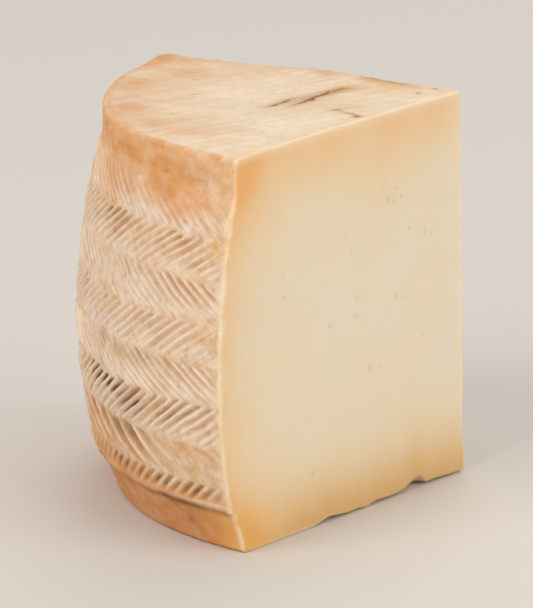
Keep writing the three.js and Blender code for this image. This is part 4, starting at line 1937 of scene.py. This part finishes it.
class Bench:
    """A material on the bench: it adds nodes and hands back their outputs."""

    def __init__(self, name: str) -> None:
        """Makes the material with its shader and a texture space in metres.

        Args:
            name: name of the material.
        """
        self.material = bpy.data.materials.new(name)
        self.material.use_nodes = True
        self.nodes = self.material.node_tree.nodes
        self.shader = self.nodes["Principled BSDF"]
        self.space = self.nodes.new("ShaderNodeTexCoord").outputs["Object"]

    def link(self, output: bpy.types.NodeSocket, entry: bpy.types.NodeSocket) -> None:
        """Links an output to an input."""
        self.material.node_tree.links.new(output, entry)

    def paint(self, name: str) -> bpy.types.NodeSocket:
        """The value of one of the mesh's paints."""
        node = self.nodes.new("ShaderNodeAttribute")
        node.attribute_name = name
        return node.outputs["Fac"]

    def place(self, name: str) -> bpy.types.NodeSocket:
        """The vector of one of the mesh's paints."""
        node = self.nodes.new("ShaderNodeAttribute")
        node.attribute_name = name
        return node.outputs["Vector"]

    def noise(
        self,
        size: float,
        detail: float = 3.0,
        stretch: Triple = (1, 1, 1),
        space: bpy.types.NodeSocket | None = None,
    ) -> bpy.types.NodeSocket:
        """Noise with features of about that size.

        Args:
            size: size of its features, in metres.
            detail: how many finer layers it has.
            stretch: how much longer the features are along each axis.
            space: where its coordinates come from, or the object's own space.

        Returns:
            Its value, about 0.5 on average.
        """
        mapping = self.nodes.new("ShaderNodeMapping")
        mapping.inputs["Scale"].default_value = [1 / (size * s) for s in stretch]
        self.link(space or self.space, mapping.inputs["Vector"])
        node = self.nodes.new("ShaderNodeTexNoise")
        node.inputs["Scale"].default_value = 1.0
        node.inputs["Detail"].default_value = detail
        self.link(mapping.outputs["Vector"], node.inputs["Vector"])
        return node.outputs["Fac"]

    def between(
        self, value: Socket, low: float, high: float, start: float = 0.0, end: float = 1.0
    ) -> Socket:
        """Maps a value from one range to another, held at both ends.

        Args:
            value: the value.
            low: value that becomes start.
            high: value that becomes end.
            start: result at low.
            end: result at high.

        Returns:
            The result.
        """
        node = self.nodes.new("ShaderNodeMapRange")
        for name, number in (("From Min", low), ("From Max", high), ("To Min", start), ("To Max", end)):
            node.inputs[name].default_value = number
        self.link(value, node.inputs["Value"])
        return node.outputs["Result"]

    def times(self, one: Socket, other: Socket | float) -> Socket:
        """Product of two values, held between 0 and 1."""
        return self._reckoned("MULTIPLY", one, other)

    def plus(self, one: Socket, other: Socket | float) -> Socket:
        """Sum of two values, held between 0 and 1."""
        return self._reckoned("ADD", one, other)

    def broken(
        self, paint: str, noise: Socket, low: float, high: float, least: float, most: float = 1.0
    ) -> Socket:
        """A paint of which a noise leaves the least share at low and the most at high."""
        return self.times(self.paint(paint), self.between(noise, low, high, least, most))

    def _reckoned(self, operation: str, one: Socket, other: Socket | float) -> Socket:
        """A math node, held between 0 and 1.

        Args:
            operation: name of what it does.
            one: first value.
            other: second value, or a number.

        Returns:
            The result.
        """
        node = self.nodes.new("ShaderNodeMath")
        node.operation = operation
        node.use_clamp = True
        self.link(one, node.inputs[0])
        if isinstance(other, bpy.types.NodeSocket):
            self.link(other, node.inputs[1])
        else:
            node.inputs[1].default_value = other
        return node.outputs[0]

    def blend(self, share: Socket, under: Socket | Colour, over: Socket | Colour) -> Socket:
        """Mixes two colours.

        Args:
            share: share of the upper colour.
            under: the lower colour.
            over: the upper colour.

        Returns:
            The mixed colour.
        """
        node = self.nodes.new("ShaderNodeMix")
        node.data_type = "RGBA"
        colour_inputs = [entry for entry in node.inputs if entry.type == "RGBA"]
        self.link(share, node.inputs["Factor"])
        for entry, colour in zip(colour_inputs, (under, over)):
            if isinstance(colour, bpy.types.NodeSocket):
                self.link(colour, entry)
            else:
                entry.default_value = linear(colour)
        return next(output for output in node.outputs if output.type == "RGBA")

    def bump(self, height: Socket, strength: float, distance: float, under: Socket | None = None) -> Socket:
        """A bump, over another one if it is given.

        Args:
            height: height of the bump, from 0 to 1.
            strength: how much of it shows.
            distance: what a height of 1 stands for, in metres.
            under: the bump below.

        Returns:
            The bumped normal.
        """
        node = self.nodes.new("ShaderNodeBump")
        node.inputs["Strength"].default_value = strength
        node.inputs["Distance"].default_value = distance
        self.link(height, node.inputs["Height"])
        if under is not None:
            self.link(under, node.inputs["Normal"])
        return node.outputs["Normal"]

    def surface(
        self, colour: Socket, roughness: Socket, normal: Socket, gloss: float, glow: Glow
    ) -> None:
        """Links the shader's colour, roughness and normal, and sets its gloss and glow.

        Args:
            colour: the colour.
            roughness: the roughness.
            normal: the bumped normal.
            gloss: specular level.
            glow: the light from under the surface.
        """
        inputs = self.shader.inputs
        for name, output in (("Base Color", colour), ("Roughness", roughness), ("Normal", normal)):
            self.link(output, inputs[name])
        inputs["Specular IOR Level"].default_value = gloss
        inputs["Subsurface Weight"].default_value = glow.weight
        inputs["Subsurface Radius"].default_value = glow.radius
        inputs["Subsurface Scale"].default_value = glow.scale


@dataclass(frozen=True)
class CrustFinish:
    """Dry crust: a mottled base with toasted, dusty, ochre and brown places; painted shadow in hollows,
    highlight on crests.
    """

    name: str
    base: Colour
    warm: Colour
    toast: Colour
    burnt: Colour
    foot: Colour
    bloom: Colour
    ochre: Colour
    trough: Colour
    deep: Colour
    crest: Colour
    gold: Colour
    edge: Colour
    grey: Colour
    grain: float
    roughness: float
    speckle: float
    woven: bool
    gloss: float = 0.2
    glow: Glow = Glow(0.08, (1.0, 0.6, 0.3), 0.002)

    def _ground(self, bench: Bench, mid: Socket, dust: Socket, weave: Socket) -> Socket:
        """The crust's own colours: base, ochre, dust and mottle, and threads where it is woven.

        Args:
            bench: the material.
            mid: middling noise.
            dust: fine noise of the dust.
            weave: coordinates that follow the strands.

        Returns:
            The colour.
        """
        broad, mottle = bench.noise(0.012), bench.noise(0.0024)
        colour = bench.blend(bench.between(broad, 0.38, 0.62), self.base, self.warm)
        ochre = bench.broken("ochre", mid, 0.3, 0.7, 0.4)
        bloom = bench.broken("bloom", dust, 0.35, 0.65, 0.45)
        if self.woven:
            ochre = bench.plus(ochre, bench.between(mid, 0.48, 0.68, 0.0, 0.45))
            blotch = bench.times(bench.between(broad, 0.50, 0.66), bench.between(mid, 0.35, 0.6, 0.15, 0.6))
            bloom = bench.plus(bloom, blotch)
        colour = bench.blend(ochre, colour, self.ochre)
        colour = bench.blend(bloom, colour, self.bloom)
        colour = bench.blend(bench.between(mottle, 0.52, 0.72, 0.0, self.speckle), colour, self.trough)
        colour = bench.blend(bench.between(mottle, 0.48, 0.28, 0.0, self.speckle), colour, self.crest)
        if self.woven:
            thread, woven = bench.noise(0.0010, 3, (1, 7, 1), weave), bench.paint("print")
            light = bench.times(woven, bench.between(thread, 0.50, 0.70, 0.0, 0.30))
            colour = bench.blend(light, colour, self.crest)
            brown = bench.times(woven, bench.between(thread, 0.50, 0.32, 0.0, 0.22))
            colour = bench.blend(brown, colour, self.trough)
        return colour

    def _toasted(self, bench: Bench, mid: Socket, weave: Socket, colour: Socket) -> Socket:
        """Lays the toasted and golden places over a colour.

        Args:
            bench: the material.
            mid: middling noise.
            weave: coordinates that follow the strands.
            colour: the colour below.

        Returns:
            The colour.
        """
        streak = bench.noise(0.0048, 5, (2.4, 1, 1), weave)
        burnt = bench.blend(bench.between(streak, 0.40, 0.84), self.toast, self.burnt)
        low = bench.blend(bench.between(mid, 0.40, 0.70), self.foot, self.burnt)
        burnt = bench.blend(bench.paint("foot"), burnt, low)
        colour = bench.blend(bench.broken("toast", streak, 0.25, 0.55, 0.70), colour, burnt)
        # Gold brightens the rind's foot near the first cut: golden crust, and painted light.
        return bench.blend(bench.broken("gold", mid, 0.3, 0.7, 0.7), colour, self.gold)

    def material(self) -> bpy.types.Material:
        """Makes the material, its paints broken up by noise so that no patch has a drawn edge.

        Returns:
            The material.
        """
        bench = Bench(self.name)
        weave = bench.place("weave") if self.woven else bench.space
        mid, fine, dust = bench.noise(0.0045, 4), bench.noise(0.0011), bench.noise(0.0006, 2)
        colour = self._toasted(bench, mid, weave, self._ground(bench, mid, dust, weave))
        trough, relief = bench.broken("trough", mid, 0.3, 0.7, 0.6), mid
        if self.woven:
            fibre = bench.noise(0.0007, 3, (1, 9, 1), weave)
            trough = bench.times(trough, bench.between(fibre, 0.3, 0.6, 0.6, 1.0))
            relief = bench.plus(bench.times(mid, 0.6), bench.times(fibre, 0.4))
        layers = (
            # Troughs: stain, and painted shade in the hollows.
            (trough, self.trough),
            # Grey places, partly painted shade.
            (bench.broken("grey", mid, 0.35, 0.6, 0.3, 0.9), self.grey),
            # Dark pits: stain, and painted shade.
            (bench.paint("deep"), self.deep),
            # Painted shadow under the ledge, and brown patches.
            (bench.times(bench.paint("shade"), 0.8), self.deep),
            # Pale crests: paler crust, and painted highlight.
            (bench.broken("crest", fine, 0.3, 0.6, 0.55), self.crest),
            # Pale strip beside the cuts: paler crust, and painted highlight on the edge.
            (bench.broken("strip", dust, 0.3, 0.6, 0.6, 0.95), self.edge),
            (bench.between(fine, 0.66, 0.74, 0.0, 0.35), self.trough),
        )
        for share, over in layers:
            colour = bench.blend(share, colour, over)
        rough = bench.between(mid, 0.3, 0.7, self.roughness - 0.1, self.roughness + 0.1)
        normal = bench.bump(fine, 0.45, self.grain, bench.bump(relief, 0.6, 0.0004))
        bench.surface(colour, rough, normal, self.gloss, self.glow)
        return bench.material


@dataclass(frozen=True)
class PasteFinish:
    """Ripe goat paste: ivory, straw towards the rind and tan under it; painted shadow low and in eyes,
    highlight on edges.
    """

    name: str = "ivory_paste"
    ivory: Colour = (228, 212, 184)
    cool: Colour = (226, 213, 188)
    straw: Colour = (230, 198, 152)
    tan: Colour = (228, 172, 104)
    # Darker tan for the painted shade along the lower edge.
    dusk: Colour = (204, 162, 100)
    gold: Colour = (220, 164, 78)
    # Pale paste for the edge lines, partly painted highlight.
    pale: Colour = (234, 216, 188)
    # Greyer paste for the painted shade in the eyes.
    eye: Colour = (204, 190, 158)
    gloss: float = 0.4
    glow: Glow = Glow(0.25, (1.0, 0.62, 0.3), 0.004)

    def material(self) -> bpy.types.Material:
        """Makes the material, with a soft glow and a fine curd grain.

        Returns:
            The material.
        """
        bench = Bench(self.name)
        broad, mid, fine = bench.noise(0.020, 2), bench.noise(0.004), bench.noise(0.0007)
        smear = bench.noise(0.0016, 3, (1, 14, 1))
        ripe = bench.plus(bench.paint("ripe"), bench.between(mid, 0.3, 0.7, -0.02, 0.02))
        colour = bench.blend(bench.between(broad, 0.38, 0.62), self.ivory, self.cool)
        layers = (
            (bench.between(ripe, 0.03, 0.45), self.straw),
            (bench.between(ripe, 0.45, 1.0), self.tan),
            # Painted shade along the lower edge.
            (bench.paint("dusk"), self.dusk),
            (bench.paint("gold"), self.gold),
            # Pale edge lines, partly painted highlight.
            (bench.paint("pale"), self.pale),
            # Painted shade in the eyes.
            (bench.times(bench.paint("eye"), 0.45), self.eye),
        )
        for share, over in layers:
            colour = bench.blend(share, colour, over)
        normal = bench.bump(fine, 0.3, 0.00008, bench.bump(smear, 0.25, 0.00012))
        bench.surface(colour, bench.between(mid, 0.3, 0.7, 0.44, 0.56), normal, self.gloss, self.glow)
        return bench.material


SIDE_CRUST = CrustFinish(
    name="plaited_rind",
    base=(228, 202, 174),
    warm=(222, 186, 150),
    toast=(224, 162, 101),
    burnt=(202, 128, 70),
    foot=(208, 150, 98),
    bloom=(232, 214, 196),
    ochre=(214, 168, 112),
    # The trough, deep and grey colours serve partly as painted shade, deep also as the painted shadow under
    # the ledge; crest and edge serve partly as painted highlight.
    trough=(182, 124, 76),
    deep=(92, 44, 2),
    crest=(243, 226, 202),
    # Gold: golden crust, used partly as painted light on the foot.
    gold=(242, 186, 106),
    edge=(243, 224, 192),
    grey=(160, 130, 98),
    grain=0.00022,
    roughness=0.66,
    speckle=0.42,
    woven=True,
)
FACE_CRUST = CrustFinish(
    name="smooth_crust",
    base=(228, 204, 174),
    warm=(222, 192, 158),
    toast=(212, 154, 102),
    burnt=(198, 126, 76),
    foot=(204, 144, 90),
    bloom=(233, 216, 192),
    ochre=(220, 182, 132),
    # Trough and deep also darken the top's cracks and pits by their depth: painted shade in the hollows.
    trough=(166, 114, 58),
    deep=(78, 44, 12),
    crest=(240, 222, 196),
    gold=(228, 184, 116),
    edge=(240, 222, 196),
    grey=(180, 156, 128),
    grain=0.00018,
    roughness=0.60,
    speckle=0.14,
    woven=False,
)


@dataclass(frozen=True)
class Softbox:
    """An area light that points at the wedge.

    Attributes:
        name: its name.
        azimuth: where it stands round the wedge, in degrees from the camera's side.
        elevation: how high it stands, in degrees.
        away: distance to the wedge.
        size: width of its square face.
        power: its power in watts.
        colour: its colour, 0 to 1 a channel.
    """

    name: str
    azimuth: float
    elevation: float
    away: float
    size: float
    power: float
    colour: Triple


@dataclass(frozen=True)
class Studio:
    """The pale floor, the soft light and the camera at the photograph's viewing angle."""

    FLOOR_SIZE = 40.0
    PHOTO_FOCAL = 1924.2
    PHOTO_HEIGHT = 608.0
    SENSOR = 36.0
    CLIP = (0.05, 100.0)

    axis: Array
    camera_beside_axis: Triple = (0.82653, -1.17375, 0.41070)
    aim: Triple = (0.0152, 0.0107, 0.0478)
    enlarged: float = 3.0
    floor: Colour = (212, 205, 197)
    floor_roughness: float = 0.75
    world: Triple = (0.96, 0.955, 0.95)
    world_strength: float = 0.58
    lights: tuple[Softbox, ...] = (
        Softbox("key", -46, 38, 1.6, 1.0, 12.0, (1.0, 0.985, 0.965)),
        Softbox("fill", 52, 24, 1.9, 1.4, 15.0, (1.0, 0.985, 0.965)),
        Softbox("back", 165, 50, 1.8, 1.0, 7.0, (1.0, 0.99, 0.98)),
    )

    def _pointed(self, data: bpy.types.ID, name: str, place: Vector, target: Vector) -> bpy.types.Object:
        """Makes an object at a place that looks at a target.

        Args:
            data: the camera or light.
            name: name of the object.
            place: where it stands.
            target: what it looks at.

        Returns:
            The object.
        """
        thing = bpy.data.objects.new(name, data)
        thing.location = place
        thing.rotation_euler = (target - place).to_track_quat("-Z", "Y").to_euler()
        bpy.context.scene.collection.objects.link(thing)
        return thing

    def set_camera(self) -> None:
        """Stands the camera where the photograph's stood, and enlarges by the lens alone."""
        data = bpy.data.cameras.new("camera")
        half_height = self.PHOTO_HEIGHT / 2 / self.PHOTO_FOCAL
        data.sensor_width = self.SENSOR
        data.lens = self.SENSOR / 2 / half_height * self.enlarged
        data.clip_start, data.clip_end = self.CLIP
        place = Vector(self.axis) + Vector(self.camera_beside_axis)
        camera = self._pointed(data, "camera", place, Vector(self.aim))
        bpy.context.scene.camera = camera

    def set_lights(self) -> None:
        """Sets the softboxes round the wedge, measured from the camera's side, and the world."""
        place = Vector(self.axis) + Vector(self.camera_beside_axis)
        camera_turn = math.atan2(place.y, place.x)
        for light in self.lights:
            data = bpy.data.lights.new(light.name, "AREA")
            data.energy, data.size, data.color = light.power, light.size, light.colour
            turn = camera_turn + math.radians(light.azimuth)
            rise = math.radians(light.elevation)
            way = Vector((math.cos(turn) * math.cos(rise), math.sin(turn) * math.cos(rise), math.sin(rise)))
            lamp = self._pointed(data, light.name, way * light.away, Vector(self.aim))
            lamp.visible_camera = False
        world = bpy.data.worlds.new("world")
        world.use_nodes = True
        background = world.node_tree.nodes["Background"]
        background.inputs["Color"].default_value = (*self.world, 1.0)
        background.inputs["Strength"].default_value = self.world_strength
        bpy.context.scene.world = world

    def set_floor(self) -> None:
        """Lays the floor, a square in the ground's plane."""
        half = self.FLOOR_SIZE / 2
        corners = [(-half, -half, 0), (half, -half, 0), (half, half, 0), (-half, half, 0)]
        mesh = bpy.data.meshes.new("floor")
        mesh.from_pydata(corners, [], [(0, 1, 2, 3)])
        bench = Bench("pale_floor")
        bench.shader.inputs["Base Color"].default_value = linear(self.floor)
        bench.shader.inputs["Roughness"].default_value = self.floor_roughness
        mesh.materials.append(bench.material)
        floor = bpy.data.objects.new("floor", mesh)
        bpy.context.scene.collection.objects.link(floor)

    def set_colours(self) -> None:
        """Takes colours to the display as they are."""
        settings = bpy.context.scene.view_settings
        settings.view_transform = "Standard"
        settings.look = "None"

    def build(self) -> None:
        """Sets up everything round the wedge."""
        self.set_camera()
        self.set_lights()
        self.set_floor()
        self.set_colours()


def wheel_axis(wheel: Wheel, knife: Knife) -> Array:
    """The axis's place in the frame, from the solid's sides at the first cut and at the second's foot.

    Args:
        wheel: the wheel.
        knife: how the quarter was cut.

    Returns:
        x, y and z of the axis at the ground.
    """
    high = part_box(NODE)[1]
    lean = wheel.height / 2 * math.tan(math.radians(knife.second_lean))
    return np.array([high.x - knife.tip[0], high.y - knife.tip[1] - lean, 0.0])


def main() -> None:
    """Builds the wedge and the studio, and reports what was made."""
    logging.basicConfig(level=logging.INFO, format="%(name)s: %(message)s")
    wheel, knife = Wheel(), Knife()
    axis = wheel_axis(wheel, knife)
    mesh = Wedge(wheel, knife).build(axis)
    for finish in (SIDE_CRUST, FACE_CRUST, PasteFinish()):
        mesh.materials.append(finish.material())
    piece = bpy.data.objects.new(mesh.name, mesh)
    bpy.context.scene.collection.objects.link(piece)
    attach(piece, BODY)
    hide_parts(NODE)
    log.info("%s: %d points, %d triangles", piece.name, len(mesh.vertices), len(mesh.polygons))
    Studio(axis).build()


if __name__ == "__main__":
    main()
